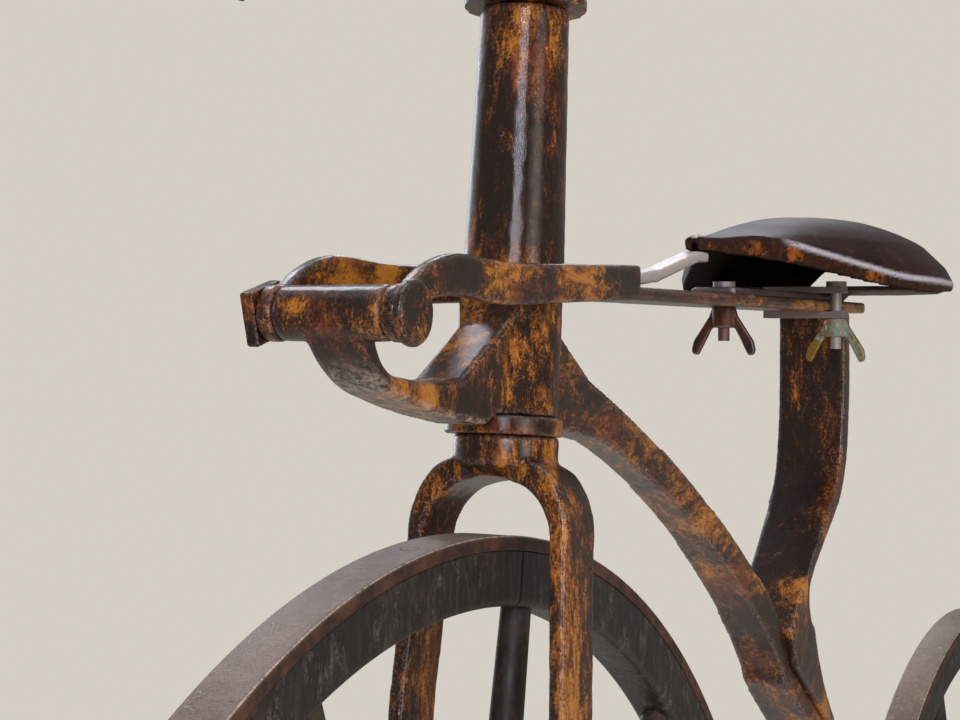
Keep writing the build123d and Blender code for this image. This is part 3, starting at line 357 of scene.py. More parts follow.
def tyre_iron():
    """Iron hoop: scuffed brown-grey tread, dark reddish sides, bright chips and a painted highlight on the
    arris.
    """
    s = Shader("tyre_iron")
    tread = s.attribute("tread")
    broad = s.noise(11.0, 5.0, 0.62, s.place, 0.4)
    stain = s.noise(60.0, 6.0, 0.68, s.place, 0.3)
    fine = s.noise(700.0, 5.0, 0.74)
    nicks = s.noise(260.0, 6.0, 0.8, s.mapped(scale=(1, 0.25, 1)))
    face = s.mix(s.span(broad, 0.38, 0.62), TREAD_LIGHT, TREAD_DARK)
    face = s.mix(s.span(stain, 0.50, 0.66, 0.0, 0.65), face, TREAD_RUB)
    face = s.mix(s.span(fine, 0.50, 0.62, 0.0, 0.55), face, TREAD_PIT)
    sand = s.noise(1500.0, 4.0, 0.75)
    face = s.mix(s.span(sand, 0.56, 0.64, 0.0, 0.5), face, TREAD_GRAIN)
    face = s.mix(s.span(nicks, 0.60, 0.66, 0.0, 0.7), face, TREAD_NICK)
    specks = s.math("MULTIPLY", s.span(stain, 0.56, 0.66), s.span(nicks, 0.46, 0.54))
    face = s.mix(s.math("MULTIPLY", specks, 0.8), face, TREAD_RUST)
    side = s.mix(s.span(stain, 0.42, 0.62), SIDE_DARK, SIDE_RED)
    side = s.mix(s.span(fine, 0.60, 0.70, 0.0, 0.5), side, SIDE_FLECK)
    # The arris band: bright chips and a painted highlight
    off_arris = s.math("ABSOLUTE", s.math("SUBTRACT", tread, 0.62))
    arris = s.math("SUBTRACT", 1.0, s.math("MULTIPLY", off_arris, 3.4))
    arris_chips_and_glints = s.span(nicks, 0.40, 0.56, 0.15, 1.0)
    edge = s.math("MULTIPLY", s.math("MAXIMUM", arris, 0.0), arris_chips_and_glints)
    color = s.mix(tread, side, face)
    color = s.mix(s.math("MULTIPLY", edge, 0.9), color, ARRIS_WEAR_AND_HIGHLIGHT)
    color = s.mix(s.attribute("joint"), color, TYRE_JOINT)
    rough = s.math("ADD", s.span(tread, 0, 1, 0.48, 0.40), s.math("MULTIPLY", stain, 0.16))
    metallic = s.span(tread, 0, 1, 0.10, 0.30)
    height = s.math("ADD", s.math("MULTIPLY", stain, 0.8), s.math("MULTIPLY", fine, 0.5))
    height = s.math("SUBTRACT", height, s.math("MULTIPLY", s.span(nicks, 0.60, 0.70), 0.5))
    return s.finish(color, rough, s.bump(height, 0.5, 0.0007), metallic=metallic)


def black_wood(name, wear, grain_scale=(1, 1, 1)):
    """Black painted wood with pale rubs, scratches and a faint grain."""
    s = Shader(name)
    along = s.mapped(scale=grain_scale)
    rub = s.noise(30.0, 8.0, 0.70, s.place, 0.8)
    fine = s.noise(420.0, 5.0, 0.75)
    grain = s.noise(210.0, 4.0, 0.6, along)
    scratch = s.noise(95.0, 8.0, 0.75, s.mapped(scale=(1.6, 1, 0.45), turn=(0, 0.5, 0)), 0.6)
    brushed = s.noise(140.0, 6.0, 0.8, s.mapped(scale=(1.0, 1, 0.2), turn=(0, 0.35, 0)))
    color = s.mix(s.span(rub, 0.35, 0.70), WOOD_BLACK, WOOD_WORN)
    pale = s.math("MULTIPLY", s.span(scratch, 0.52, 0.64), s.span(fine, 0.40, 0.58))
    color = s.mix(s.span(brushed, 0.48, 0.66, 0.0, 0.5), color, WOOD_SCRATCH)
    color = s.mix(s.math("MULTIPLY", pale, wear), color, WOOD_RUB)
    brown = s.math("MULTIPLY", s.span(rub, 0.56, 0.66), s.span(grain, 0.45, 0.60))
    color = s.mix(s.math("MULTIPLY", brown, 0.7), color, WOOD_BROWN)
    edge = s.span(s.worn_edge(), 0.52, 0.60)
    color = s.mix(s.math("MULTIPLY", edge, 0.5), color, WOOD_EDGE)
    color = s.mix(s.attribute("joint"), color, WOOD_JOINT)
    rough = s.span(rub, 0.3, 0.75, 0.42, 0.64)
    height = s.math("ADD", s.math("MULTIPLY", grain, 0.6), s.math("MULTIPLY", fine, 0.35))
    height = s.math("SUBTRACT", height, s.math("MULTIPLY", pale, 0.4))
    return s.finish(color, rough, s.bump(height, 0.5, 0.0006))


def old_leather():
    """Dark polished leather, a pale rim that is worn and carries a painted highlight, a brown skirt rubbed
    to orange, and an underside painted near black as shade.
    """
    s = Shader("old_leather")
    under_shade = s.attribute("under_shade")
    broad = s.noise(20.0, 5.0, 0.6)
    pores = s.cells(520.0)
    creases = s.noise(150.0, 6.0, 0.7, s.place, 0.8)
    color = s.mix(s.span(broad, 0.35, 0.65), LEATHER_DARK, LEATHER_LIGHT)
    color = s.mix(s.span(creases, 0.54, 0.70, 0.0, 0.5), color, LEATHER_CREASE)
    brown = s.mix(s.span(creases, 0.40, 0.62), SKIRT_DARK, SKIRT_BROWN)
    rubbed = s.math("ADD", s.attribute("wear"), s.span(creases, 0.35, 0.65, -0.45, 0.25))
    brown = s.mix(s.span(rubbed, 0.25, 0.60), brown, SKIRT_ORANGE)
    color = s.mix(s.attribute("skirt"), color, brown)
    # Pale rim line: wear and a painted highlight
    rim = s.math("MULTIPLY", s.attribute("rim"), s.span(creases, 0.30, 0.42))
    color = s.mix(rim, color, RIM_WEAR_AND_SHEEN)
    # Underside painted near black: painted shade
    color = s.mix(under_shade, color, LEATHER_UNDER_SHADE)
    rough = s.math("ADD", s.span(broad, 0.3, 0.7, 0.40, 0.52), s.math("MULTIPLY", under_shade, 0.4))
    height = s.math("ADD", s.math("MULTIPLY", pores, 0.35), s.math("MULTIPLY", creases, 0.8))
    return s.finish(color, rough, s.bump(height, 0.45, 0.0007), specular=0.12)


def old_brass(name, green):
    """Tarnished brass with verdigris."""
    s = Shader(name)
    patch = s.noise(150.0, 5.0, 0.65)
    fine = s.noise(900.0, 4.0, 0.6)
    metal = s.mix(s.span(fine, 0.35, 0.7), BRASS_BRIGHT, BRASS_DULL)
    copper_green = s.mix(s.span(fine, 0.3, 0.7), VERDIGRIS_DARK, VERDIGRIS_PALE)
    covered = s.math("SUBTRACT", patch, s.attribute("wear"))
    cover = s.span(covered, 0.60 - 0.3 * green, 0.72 - 0.3 * green)
    color = s.mix(cover, metal, copper_green)
    rough = s.span(cover, 0, 1, 0.35, 0.75)
    metallic = s.span(cover, 0, 1, 0.85, 0.05)
    return s.finish(color, rough, s.bump(fine, 0.4, 0.0004), metallic=metallic)


def turned_wood():
    """Dark oiled grip wood with long grain."""
    s = Shader("turned_wood")
    along = s.mapped(scale=(1.0, 0.16, 1.0), turn=(0, 0, math.radians(22)))
    grain = s.noise(90.0, 6.0, 0.6, along, 0.6)
    color = s.ramp(grain, ((0.30, GRIP_DARK), (0.55, GRIP_BROWN), (0.75, GRIP_LIGHT)))
    return s.finish(color, s.span(grain, 0.3, 0.7, 0.30, 0.46), s.bump(grain, 0.35, 0.0005))


# Mesh helpers
HIGHEST_LIFT = 0.15
CORNER_STEPS = 5


def evaluated_mesh(piece):
    graph = bpy.context.evaluated_depsgraph_get()
    return bpy.data.meshes.new_from_object(piece.evaluated_get(graph))


def set_attribute(mesh, name, values):
    layer = mesh.attributes.get(name) or mesh.attributes.new(name, "FLOAT", "POINT")
    layer.data.foreach_set("value", np.asarray(values, np.float32))


def points_of(mesh):
    flat = np.empty(len(mesh.vertices) * 3, np.float32)
    mesh.vertices.foreach_get("co", flat)
    return flat.reshape(-1, 3).astype(float)


def normals_of(mesh):
    flat = np.empty(len(mesh.vertices) * 3, np.float32)
    mesh.vertices.foreach_get("normal", flat)
    return flat.reshape(-1, 3).astype(float)


def worked(name, nodes, body, material, slot, voxel, rounds, dents=0.25, dent_size=9.0):
    """A CAD piece as a hand-worked one: rounded corners and a slightly uneven skin, in mm."""
    joined = bmesh.new()
    for node in nodes:
        joined.from_mesh(frame["nodes"][node].data)
    mesh = bpy.data.meshes.new(name)
    joined.to_mesh(mesh)
    joined.free()
    mesh.materials.clear()
    piece = bpy.data.objects.new(name, mesh)
    bpy.context.scene.collection.objects.link(piece)
    remesh = piece.modifiers.new("remesh", "REMESH")
    remesh.mode = "VOXEL"
    remesh.voxel_size = voxel * MM
    soften = piece.modifiers.new("soften", "SMOOTH")
    soften.factor = 0.5
    soften.iterations = rounds
    baked = evaluated_mesh(piece)
    piece.modifiers.clear()
    piece.data = baked
    points = points_of(baked)
    normals = normals_of(baked)
    size = dent_size * MM
    lift = np.array([noise.noise(Vector(point) / size) for point in points])
    points += normals * (np.clip(lift, -1, HIGHEST_LIFT) * dents * MM)[:, None]
    baked.vertices.foreach_set("co", points.astype(np.float32).ravel())
    baked.shade_smooth()
    baked.materials.append(material)
    set_attribute(baked, "wear", np.zeros(len(points)))
    set_attribute(baked, "scuff_and_light", np.zeros(len(points)))
    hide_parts(*nodes)
    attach(piece, body)
    return piece


def paint_node(node, material):
    """A CAD node keeps its shape and gets a finished material."""
    piece = frame["nodes"][node]
    piece.data.materials.clear()
    piece.data.materials.append(material)


# A felloe joint's groove: rows of degrees from its middle and depth in mm
JOINT_GROOVE = ((-0.10, 0.0), (-0.035, 0.45), (0.035, 0.45), (0.10, 0.0))


def ring(name, centre, profile, segments, body, material, nodes, marks,
         joints_at=()):
    """A hoop about Y from a closed profile of (across, radius) in millimetres, grooved at its joints."""
    cuts = {(joint + step) % 360: depth for joint in joints_at for step, depth in JOINT_GROOVE}
    angles = sorted({360.0 * k / segments for k in range(segments)} | set(cuts))
    middle = (min(r for _, r in profile) + max(r for _, r in profile)) / 2
    count = len(profile)
    verts, faces = [], []
    for angle in angles:
        a = math.radians(angle)
        sunk = cuts.get(angle, 0.0)
        for across, radius in profile:
            across -= math.copysign(sunk, across)
            radius -= math.copysign(sunk, radius - middle)
            verts.append((
                centre.x + radius * MM * math.sin(a),
                centre.y + across * MM,
                centre.z + radius * MM * math.cos(a),
            ))
    for i in range(len(angles)):
        j = (i + 1) % len(angles)
        for k in range(count):
            m = (k + 1) % count
            faces.append((i * count + k, i * count + m, j * count + m, j * count + k))
    mesh = bpy.data.meshes.new(name)
    mesh.from_pydata(verts, [], faces)
    mesh.validate()
    fixer = bmesh.new()
    fixer.from_mesh(mesh)
    bmesh.ops.recalc_face_normals(fixer, faces=fixer.faces)
    fixer.to_mesh(mesh)
    fixer.free()
    mesh.shade_smooth()
    mesh.materials.append(material)
    piece = bpy.data.objects.new(name, mesh)
    bpy.context.scene.collection.objects.link(piece)
    set_attribute(mesh, "tread", np.tile(np.asarray(marks, float), len(angles)))
    joint_marks = [1.0 if cuts.get(angle, 0.0) > 0 else 0.0 for angle in angles]
    set_attribute(mesh, "joint", np.repeat(joint_marks, count))
    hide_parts(*nodes)
    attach(piece, body)
    return piece


def rounded_box_profile(half, inner, outer, corner_out, corner_in):
    """Closed (across, radius) profile of a rim with rounded corners, and which points are tread."""
    profile, tread = [], []
    corners = (
        (half - corner_out, outer - corner_out, 0, 90, corner_out, 1),
        (-half + corner_out, outer - corner_out, 90, 180, corner_out, 1),
        (-half + corner_in, inner + corner_in, 180, 270, corner_in, 0),
        (half - corner_in, inner + corner_in, 270, 360, corner_in, 0),
    )
    for cx, cy, start, end, radius, outside in corners:
        for k in range(CORNER_STEPS + 1):
            t = k / CORNER_STEPS
            angle = math.radians(start + (end - start) * t)
            profile.append((cx + radius * math.cos(angle), cy + radius * math.sin(angle)))
            tread.append(max(0.0, math.sin(angle)) ** 2 if outside else 0.0)
    return profile, tread


# Finishes
column_paint = worn_paint("head_paint", stretch=(1, 1, 0.38), amber=0.50, zone=22.0)
bar_paint = worn_paint("bar_paint", stretch=(0.4, 1, 1), turn=(0, math.radians(-30), 0),
                       amber=0.52, zone=22.0)
yoke_paint = worn_paint("yoke_paint", stretch=(0.6, 1, 1), amber=0.60, zone=26.0, shift=(2, 0, 1))
fork_paint = worn_paint("fork_paint", stretch=(1, 1, 0.34),
                        amber=0.24, zone=20.0, streak=170.0, shift=(0, 5, 0))
race_paint = worn_paint("race_paint", stretch=(1, 1, 0.8),
                        amber=0.50, zone=40.0, streak=170.0, shift=(6, 5, 0))
bolt_paint = worn_paint("bolt_paint", amber=0.40, zone=60.0, streak=180.0, shift=(1, 2, 3))
pillar_paint = worn_paint("pillar_paint", stretch=(1, 1, 0.4),
                          amber=0.36, zone=22.0, streak=110.0, shift=(4, 2, 0))
spring_paint = worn_paint("spring_paint", stretch=(0.25, 1, 1), amber=0.40, zone=22.0)
browned_iron = dark_iron()
tyre_finish = tyre_iron()
felloe_finish = black_wood("felloe_black", wear=1.0)
spoke_finish = black_wood("spoke_black", wear=0.3)
hub_finish = black_wood("hub_black", wear=0.5, grain_scale=(1, 0.2, 1))
leather_finish = old_leather()
brass_finish = old_brass("green_brass", green=0.6)
ferrule_finish = old_brass("ferrule_brass", green=0.1)
grip_finish = turned_wood()


def touch(piece, name, spots):
    """Add soft spots of wear, or of darkening that in one place is painted shade: rows of (x, y, z,
    radius, amount), in millimetres.
    """
    points = points_of(piece.data)
    values = np.zeros(len(points))
    for x, y, z, radius, amount in spots:
        away = np.linalg.norm(points - np.array((x, y, z)) * MM, axis=1) / (radius * MM)
        values += amount * np.clip(1.0 - away ** 2, 0, 1)
    set_attribute(piece.data, name, values)


# Spots on the frame and fork that are rubbed to amber or darkened, one of them painted shade under the
# yoke arm: x, y, z, radius, amount
HEAD_SPOTS = (
    (447, 24, 11, 9, 0.10), (441, 24, 58, 16, 0.05), (443, 25, 31, 14, 0.05), (445, 26, -18, 18, 0.05),
    (455, 9, 83, 8, 0.10), (462, -6, 25, 30, -0.05), (465, -10, -18, 26, -0.04), (454, 24, -30, 20, -0.04),
    (458, 2, 68, 9, 0.04), (463, 4, 14, 8, 0.05),
    (638, -16, -80, 6, 0.12), (637, 3, -89, 8, 0.07), (637, 19, -89, 7, 0.06),
    (636, 3, -72, 16, -0.05), (637, 14, -74, 12, -0.03),
    (568, 15, -122, 14, 0.10), (590, 15, -117, 12, 0.09), (608, 15, -110, 10, 0.05),
    (523, 15, -128, 18, -0.05), (505, 15, -126, 12, -0.02),
    (502, -4, -99, 24, 0.08), (489, -2, -91, 12, 0.03), (461, 25, -130, 14, 0.09),
    # (470, 12, -74) darkens the column just under the yoke arm: painted shade
    (472, 19, -104, 16, 0.09), (470, 12, -74, 22, -0.09),
    (447, 28, -94, 12, 0.00), (482, 15, -120, 12, 0.07),
)
YOKE_SPOTS = (
    (517, 38, -68, 18, 0.06), (488, 38, -65, 18, 0.07), (458, 38, -66, 18, 0.06), (430, 38, -66, 16, 0.03),
    (413, 38, -70, 12, 0.04), (572, 38, -60, 28, -0.045), (600, 38, -58, 14, -0.03),
    (566, -30, -58, 16, 0.09), (584, -30, -63, 14, 0.10), (526, -30, -59, 14, 0.06),
)
FORK_SPOTS = (
    (478, 11, -157, 6, 0.08), (479, -4, -155, 20, -0.05), (473, 20, -155, 10, -0.03),
    (474, -37, -181, 16, 0.03), (475, 42, -188, 16, 0.02),
    (463, 50, -231, 26, -0.01), (465, 52, -278, 26, 0.00),
    (478, -42, -270, 70, 0.10), (472, 31, -163, 10, -0.05), (449, 38, -168, 12, -0.05),
)
BAR_SPOTS = (
    (386, 11, -116, 20, 0.05), (351, 11, -140, 24, 0.04), (290, 11, -166, 26, 0.03),
    (400, 10, -100, 10, -0.05), (240, 10, -190, 26, 0.03), (120, 14, -255, 30, -0.03),
)
PILLAR_SPOTS = (
    (-59, 14, -159, 9, 0.08), (19, 17, -273, 14, 0.12), (-60, -9, -137, 12, 0.05),
    (-61, 7, -114, 10, 0.03),
    (-48, 8, -197, 24, -0.05), (-10, 5, -245, 16, -0.05),
)
BOLT_SPOTS = ((641, 47, -70, 9, 0.15), (640, 50, -95, 7, 0.06), (640, 53, -84, 9, -0.05))

# Where the polished stay of the saddle iron begins, painted pale as bare metal and a highlight, and where
# the bracket's scuff, made pale as painted light, ends, in metres
STAY_BEGINS, STAY_FADE = 0.164, 0.006
SCUFF_LIGHT_TOP, SCUFF_LIGHT_FADE, SCUFF_LIGHT_AMOUNT = 0.030, 0.014, 0.8


def scuff_and_light_bracket(piece):
    """Bare scuffs where the nose bracket faces down, ahead of the column and low on it, made pale enough
    to be painted light on the shaded underside.
    """
    points, normals = points_of(piece.data), normals_of(piece.data)
    facing_down = np.clip(-normals[:, 2] * 2.2 - 0.5, 0, 1)
    ahead = np.clip((points[:, 0] - HEAD_FOOT.x) / 0.02 - 1.2, 0, 1)
    low = np.clip((HEAD_FOOT.z + SCUFF_LIGHT_TOP - points[:, 2]) / SCUFF_LIGHT_FADE, 0, 1)
    set_attribute(piece.data, "scuff_and_light", facing_down * ahead * low * SCUFF_LIGHT_AMOUNT)


# Worked pieces: name, CAD node, body, finish, slot, voxel size in mm and rounds of smoothing
WORKED = (
    ("head_forging", "steering_head", "frame", column_paint, "worn_paint", 1.35, 3),
    ("backbone_bar", "backbone", "frame", bar_paint, "worn_paint", 1.9, 4),
    ("yoke", "spring_yoke", "frame", yoke_paint, "worn_paint", 1.1, 16),
    ("cross_bolt", "yoke_bolt", "frame", bolt_paint, "worn_paint", 0.8, 6),
    ("cross_nut", "yoke_nut", "frame", bolt_paint, "worn_paint", 0.8, 4),
    ("leaf_spring", "saddle_spring", "frame", spring_paint, "worn_paint", 1.6, 3),
    ("pillar", "seat_pillar", "frame", pillar_paint, "worn_paint", 1.8, 5),
    ("saddle_irons", "saddle_iron", "frame", browned_iron, "bare_iron", 1.6, 2),
    ("rear_wing_nut", "rear_wing_nuts", "frame", brass_finish, "old_brass", 0.8, 6),
    ("front_wing_nut", "front_wing_nuts", "frame", browned_iron, "bare_iron", 0.8, 6),
    ("fork_forging", "fork", "fork", fork_paint, "worn_paint", 1.5, 6),
    ("race", "head_race", "fork", race_paint, "worn_paint", 1.0, 4),
    ("cap", "head_cap", "fork", column_paint, "worn_paint", 1.2, 4),
    ("lug", "handlebar_lug", "fork", column_paint, "worn_paint", 1.2, 4),
)
SPOTS = {
    "head_forging": HEAD_SPOTS,
    "backbone_bar": BAR_SPOTS,
    "yoke": YOKE_SPOTS,
    "cross_bolt": BOLT_SPOTS,
    "pillar": PILLAR_SPOTS,
    "fork_forging": FORK_SPOTS,
}
forged = {}
for name, node, *rest in WORKED:
    forged[name] = worked(name, [node], *rest)
    if name in SPOTS:
        touch(forged[name], "wear", SPOTS[name])
scuff_and_light_bracket(forged["head_forging"])

irons = forged["saddle_irons"]
points = points_of(irons.data)
# The stay is painted pale: bare metal and a painted highlight
set_attribute(irons.data, "polish_and_glint", np.clip((points[:, 0] - STAY_BEGINS) / STAY_FADE, 0, 1))

# The rear wing nut's right wing is rubbed down to the brass
wing = forged["rear_wing_nut"]
low, high = points_of(wing.data).min(axis=0) / MM, points_of(wing.data).max(axis=0) / MM
touch(wing, "wear", [((low[0] + high[0]) / 2, low[1], low[2], 20, 0.9)])

for node in ("handlebar", "steering_stem"):
    paint_node(node, column_paint)

# Radius that stays, depth cut and height of the beads of a turned grip, in mm
GRIP_CORE, GRIP_CUT, GRIP_BEAD, GRIP_BEADS = 9.5, 2.9, 0.7, 14


def turned_grip(node):
    """The plain CAD grip with turned beads and hollows, cut a little into its skin."""
    piece = worked(f"turned_{node}", [node], "fork", grip_finish, "turned_wood", 1.2, 3, 0.05)
    points, normals = points_of(piece.data), normals_of(piece.data)
    middle = points.mean(axis=0)
    spread = np.linalg.svd(points - middle, full_matrices=False)[2]
    along = (points - middle) @ spread[0]
    outward = points - middle - np.outer(along, spread[0])
    from_axis = np.linalg.norm(outward, axis=1) / MM
    sideways = np.einsum("ij,ij->i", normals, outward) / MM / np.maximum(from_axis, 1)
    skin = np.clip((sideways - 0.5) * 4, 0, 1)
    skin *= np.clip((from_axis - GRIP_CORE) / 1.5, 0, 1)
    share = np.abs(along) / np.abs(along).max()
    beads = np.cos(share * math.pi * GRIP_BEADS) * np.clip((share - 0.55) * 8, 0, 1)
    turned = GRIP_CUT + GRIP_BEAD * beads
    points -= outward / np.maximum(from_axis, 1)[:, None] * (turned * skin)[:, None]
    piece.data.vertices.foreach_set("co", points.astype(np.float32).ravel())
    piece.data.update()


for node in ("grip_left", "grip_right"):
    turned_grip(node)
for node in ("ferrule_left", "ferrule_right", "pedal_left", "pedal_right"):
    paint_node(node, ferrule_finish)
iron_nodes = (
    "rear_clamp_plates", "front_clamp_bolts", "rear_clamp_bolts", "rear_axle", "rear_axle_nuts",
    "front_axle", "crank_left", "crank_right", "front_hub_bands", "rear_hub_bands",
)
for node in iron_nodes:
    paint_node(node, browned_iron)
# The rear clamp bolts are paler: bare metal and a painted highlight
bolt_mesh = frame["nodes"]["rear_clamp_bolts"].data
set_attribute(bolt_mesh, "polish_and_glint", np.full(len(bolt_mesh.vertices), 0.6))
for node in ("front_spokes", "rear_spokes"):
    paint_node(node, spoke_finish)
for node in ("front_hub", "rear_hub"):
    paint_node(node, hub_finish)

# Wheels: hoop and rim wood, with grooved felloe joints and countersunk tyre bolts
TYRE_HALF, TYRE_THICK, FELLOE_HALF, FELLOE_DEPTH = 15.0, 8.0, 14.5, 30.2
BOLT_R, BOLT_GROOVE, BOLT_PROUD, BOLT_SIDES = 5.2, 0.9, 0.07, 28
FIRST_BOLT, FIRST_JOINT, STEP, JOINTS = 5.71, -6.7, 60.0, 6
RING_STEPS = 360


def tyre_bolts(name, centre, radius, body, material):
    """Flat countersunk bolt heads on the tread, each in a thin dark groove."""
    verts, faces, dark = [], [], []
    head_r = BOLT_R - BOLT_GROOVE
    rings = ((0.0, 1.0), (head_r, 1.0), (head_r, 0.0), (BOLT_R, 0.0), (BOLT_R, -8.0))
    for number in range(JOINTS):
        a = math.radians(FIRST_BOLT + STEP * number)
        out = Vector((math.sin(a), 0, math.cos(a)))
        side = Vector((math.cos(a), 0, -math.sin(a)))
        first = len(verts)
        for from_middle, lift in rings:
            for k in range(BOLT_SIDES):
                turn = 2 * math.pi * k / BOLT_SIDES
                along = from_middle * math.cos(turn)
                spot = side * along + Vector((0, from_middle * math.sin(turn), 0))
                drop = radius - math.sqrt(radius ** 2 - along ** 2)
                rise = radius - 0.1 - drop + BOLT_PROUD * lift
                verts.append(centre + (out * rise + spot) * MM)
                dark.append(0.0 if lift > 0.5 else 1.0)
        for level in range(len(rings) - 1):
            for k in range(BOLT_SIDES):
                m = (k + 1) % BOLT_SIDES
                low, high = first + level * BOLT_SIDES, first + (level + 1) * BOLT_SIDES
                faces.append((low + k, low + m, high + m, high + k))
    mesh = bpy.data.meshes.new(name)
    mesh.from_pydata(verts, [], faces)
    mesh.materials.append(material)
    set_attribute(mesh, "tread", 1.0 - np.asarray(dark))
    set_attribute(mesh, "joint", dark)
    piece = bpy.data.objects.new(name, mesh)
    bpy.context.scene.collection.objects.link(piece)
    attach(piece, body)


WHEELS = (("front", FRONT_AXLE, FRONT_R / MM), ("rear", REAR_AXLE, REAR_R / MM))
for which, centre, radius in WHEELS:
    body = f"{which}_wheel"
    rim, tread = rounded_box_profile(TYRE_HALF, radius - TYRE_THICK, radius - 0.1, 2.2, 0.6)
    ring(f"{which}_hoop", centre, rim, RING_STEPS, body, tyre_finish,
         [f"{which}_tyre"], tread)
    tyre_bolts(f"{which}_tyre_bolts", centre, radius, body, tyre_finish)
    wood, flat = rounded_box_profile(
        FELLOE_HALF, radius - TYRE_THICK - FELLOE_DEPTH, radius - TYRE_THICK - 0.2, 0.8, 5.0
    )
    seams = [FIRST_JOINT + STEP * number for number in range(JOINTS)]
    ring(f"{which}_rim_wood", centre, wood, RING_STEPS, body, felloe_finish,
         [f"{which}_felloe"], flat, seams)

# Saddle: the rim line follows the leather's own edge, rows of distance along it and height in mm
RIM_ALONG = (-178, -150, -100, -10, 70, 110, 150, 182)
RIM_Z = (-44.8, -45.2, -47.6, -45.2, -29.3, -21.5, -23.2, -26.3)
RIM_WINDOW = 61
NOSE_BACK, NOSE_FRONT = 104, 172
RIM_REACH, RIM_HALF, NOSE_FADE = 12, 1.9, 5
SKIRT_SPOTS = ((92, 38, -32, 12, 0.75), (18, 74, -46, 14, 0.72),
               (128, 24, -27, 16, 0.55), (170, 7, -28, 8, 0.5))


def mark_saddle(piece):
    """Round the leather's rim line, and mark its rim for wear and a painted highlight, its skirt, and its
    underside for painted shade.
    """
    points, normals = points_of(piece.data) / MM, normals_of(piece.data)
    along = np.arange(-200.0, 205.0, 1.0)
    straight = np.interp(along, RIM_ALONG, RIM_Z)
    window = np.hanning(RIM_WINDOW)
    padded = np.pad(straight, RIM_WINDOW // 2, mode="edge")
    rounded = np.convolve(padded, window / window.sum(), mode="valid")
    from_rim = np.abs(points[:, 2] - np.interp(points[:, 0], along, straight))
    near_rim = np.clip(1.6 - from_rim / RIM_REACH, 0, 1)
    points[:, 2] += near_rim * np.interp(points[:, 0], along, rounded - straight)
    piece.data.vertices.foreach_set("co", (points * MM).astype(np.float32).ravel())
    rim_z = np.interp(points[:, 0], along, rounded)
    outward = normals[:, 1] * np.sign(points[:, 1]) + 0.8 * normals[:, 2]
    outward += np.clip((points[:, 0] - NOSE_FRONT) / NOSE_FADE, 0, 1)
    outside = np.clip(outward * 4, 0, 1)
    back_of_nose = np.clip((NOSE_BACK - points[:, 0]) / RIM_REACH, 0, 1)
    on_rim = np.clip(1.5 - np.abs(points[:, 2] - rim_z) / RIM_HALF, 0, 1)
    # Rim mark: wear and a painted highlight; underside mark below: painted shade
    set_attribute(piece.data, "rim", on_rim * outside * back_of_nose)
    set_attribute(piece.data, "skirt", np.clip(rim_z - 1.6 - points[:, 2], 0, 1) * outside)
    set_attribute(piece.data, "under_shade", 1 - outside)


saddle = worked("saddle", ["saddle_leather"], "frame", leather_finish, "saddle_leather",
                1.9, 2, 0.5, 30.0)
mark_saddle(saddle)
touch(saddle, "wear", SKIRT_SPOTS)


def dome(name, place, radius, height, body, material):
    """A small rivet head that stands along z, in mm."""
    segments, steps = 20, 5
    verts = [(place[0], place[1], place[2] + height)]
    faces = []
    for k in range(1, steps + 1):
        turn = math.pi / 2 * k / steps
        for i in range(segments):
            a = 2 * math.pi * i / segments
            verts.append((
                place[0] + radius * math.sin(turn) * math.cos(a),
                place[1] + radius * math.sin(turn) * math.sin(a),
                place[2] + height * math.cos(turn),
            ))
    for i in range(segments):
        faces.append((0, 1 + i, 1 + (i + 1) % segments))
    for k in range(steps - 1):
        for i in range(segments):
            j = (i + 1) % segments
            a, b = 1 + k * segments, 1 + (k + 1) * segments
            faces.append((a + i, b + i, b + j, a + j))
    faces.append([1 + (steps - 1) * segments + i for i in reversed(range(segments))])
    mesh = bpy.data.meshes.new(name)
    mesh.from_pydata([tuple(c * MM for c in vert) for vert in verts], [], faces)
    mesh.shade_smooth()
    mesh.materials.append(material)
    piece = bpy.data.objects.new(name, mesh)
    bpy.context.scene.collection.objects.link(piece)
    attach(piece, body)
    return piece


RIVET_PLACE, RIVET_R, RIVET_HEIGHT = (178.6, 0.4, -25.0), 3.6, 3.6
rivet = dome("nose_rivet", RIVET_PLACE, RIVET_R, RIVET_HEIGHT, "frame", browned_iron)
# The rivet is painted pale: bare metal and a painted highlight
set_attribute(rivet.data, "polish_and_glint", np.ones(len(rivet.data.vertices)))


# Stage, lights and world
BACKDROP = (0.66, 0.62, 0.56)
WORLD_LIGHT = (1.0, 0.93, 0.84)
WORLD_STRENGTH = 0.27
FLOOR_COLOR = (0.76, 0.71, 0.64)
FLOOR_REACH = 12.0
FLOOR_SOLID = 0.95
FLOOR_GONE = 2.6


def make_world():
    """Pale backdrop where it is seen, softer light everywhere else."""
    world = bpy.data.worlds.new("studio")
    bpy.context.scene.world = world
    world.use_nodes = True
    nodes, links = world.node_tree.nodes, world.node_tree.links
    nodes.clear()
    out = nodes.new("ShaderNodeOutputWorld")
    light = nodes.new("ShaderNodeBackground")
    light.inputs["Color"].default_value = (*WORLD_LIGHT, 1)
    light.inputs["Strength"].default_value = WORLD_STRENGTH
    shown = nodes.new("ShaderNodeBackground")
    shown.inputs["Color"].default_value = (*BACKDROP, 1)
    shown.inputs["Strength"].default_value = 1.0
    path = nodes.new("ShaderNodeLightPath")
    seen = nodes.new("ShaderNodeMath")
    seen.operation = "MAXIMUM"
    mix = nodes.new("ShaderNodeMixShader")
    links.new(path.outputs["Is Camera Ray"], seen.inputs[0])
    links.new(path.outputs["Is Transmission Ray"], seen.inputs[1])
    links.new(seen.outputs[0], mix.inputs[0])
    links.new(light.outputs[0], mix.inputs[1])
    links.new(shown.outputs[0], mix.inputs[2])
    links.new(mix.outputs[0], out.inputs[0])


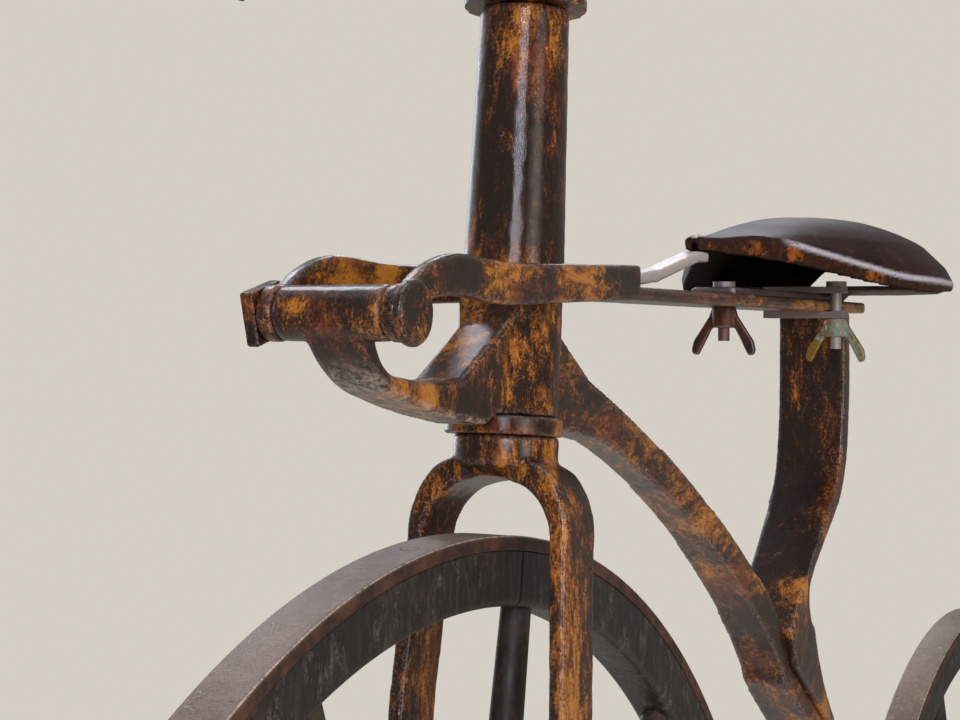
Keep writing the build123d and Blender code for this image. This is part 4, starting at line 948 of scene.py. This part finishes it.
def make_floor():
    """Pale floor that keeps the shadow near the object and fades into the backdrop further off."""
    mesh = bpy.data.meshes.new("floor")
    r = FLOOR_REACH
    mesh.from_pydata([(-r, -r, 0), (r, -r, 0), (r, r, 0), (-r, r, 0)], [], [(0, 1, 2, 3)])
    floor = bpy.data.objects.new("floor", mesh)
    floor.location = (0, 0, GROUND - 0.0005)
    bpy.context.scene.collection.objects.link(floor)
    s = Shader("floor")
    s.finish(FLOOR_COLOR, 0.9, specular=0.1)
    away = s.tree.nodes.new("ShaderNodeVectorMath")
    away.operation = "LENGTH"
    s.link(s.place, away.inputs[0])
    fade = s.tree.nodes.new("ShaderNodeMapRange")
    fade.interpolation_type = "SMOOTHSTEP"
    s.link(away.outputs["Value"], fade.inputs["Value"])
    fade.inputs["From Min"].default_value = FLOOR_SOLID
    fade.inputs["From Max"].default_value = FLOOR_GONE
    clear = s.tree.nodes.new("ShaderNodeBsdfTransparent")
    mix = s.tree.nodes.new("ShaderNodeMixShader")
    s.link(fade.outputs[0], mix.inputs[0])
    s.link(s.surface.outputs[0], mix.inputs[1])
    s.link(clear.outputs[0], mix.inputs[2])
    s.link(mix.outputs[0], s.out.inputs["Surface"])
    mesh.materials.append(s.material)


def lamp(name, place, target, width, height, power, color):
    """A soft rectangular studio lamp."""
    data = bpy.data.lights.new(name, "AREA")
    data.shape = "RECTANGLE"
    data.size, data.size_y = width, height
    data.energy = power
    data.color = color
    lamp_object = bpy.data.objects.new(name, data)
    lamp_object.location = place
    aim = Vector(target) - Vector(place)
    lamp_object.rotation_euler = aim.to_track_quat("-Z", "Y").to_euler()
    bpy.context.scene.collection.objects.link(lamp_object)


# Lamps: name, place, target, width, height, power and colour
COLUMN, YOKE = (0.46, 0.0, -0.05), (0.52, 0.0, -0.07)
LAMPS = (
    ("doorway", (-1.63, -2.92, 0.60), COLUMN, 1.3, 2.2, 30, (0.82, 0.88, 1.0)),
    ("high_window", (-0.46, -1.33, 1.72), YOKE, 0.6, 0.6, 13, (0.84, 0.88, 1.0)),
    ("back_window", (-2.25, -1.05, 1.45), YOKE, 1.2, 0.4, 14, (0.84, 0.90, 1.0)),
    ("front_strip", (3.15, 1.45, 0.80), COLUMN, 0.16, 1.4, 44, (0.90, 0.88, 1.0)),
    ("ceiling", (0.4, 0.3, 2.4), (0.4, 0.0, -0.5), 1.8, 1.4, 26, (1.0, 0.96, 0.90)),
    ("warm_fill", (1.3, 2.5, 0.0), (0.3, 0.0, -0.2), 1.0, 1.6, 22, (1.0, 0.93, 0.84)),
)

make_camera()
make_world()
make_floor()
for row in LAMPS:
    lamp(*row)

bpy.context.scene.view_settings.view_transform = "Standard"
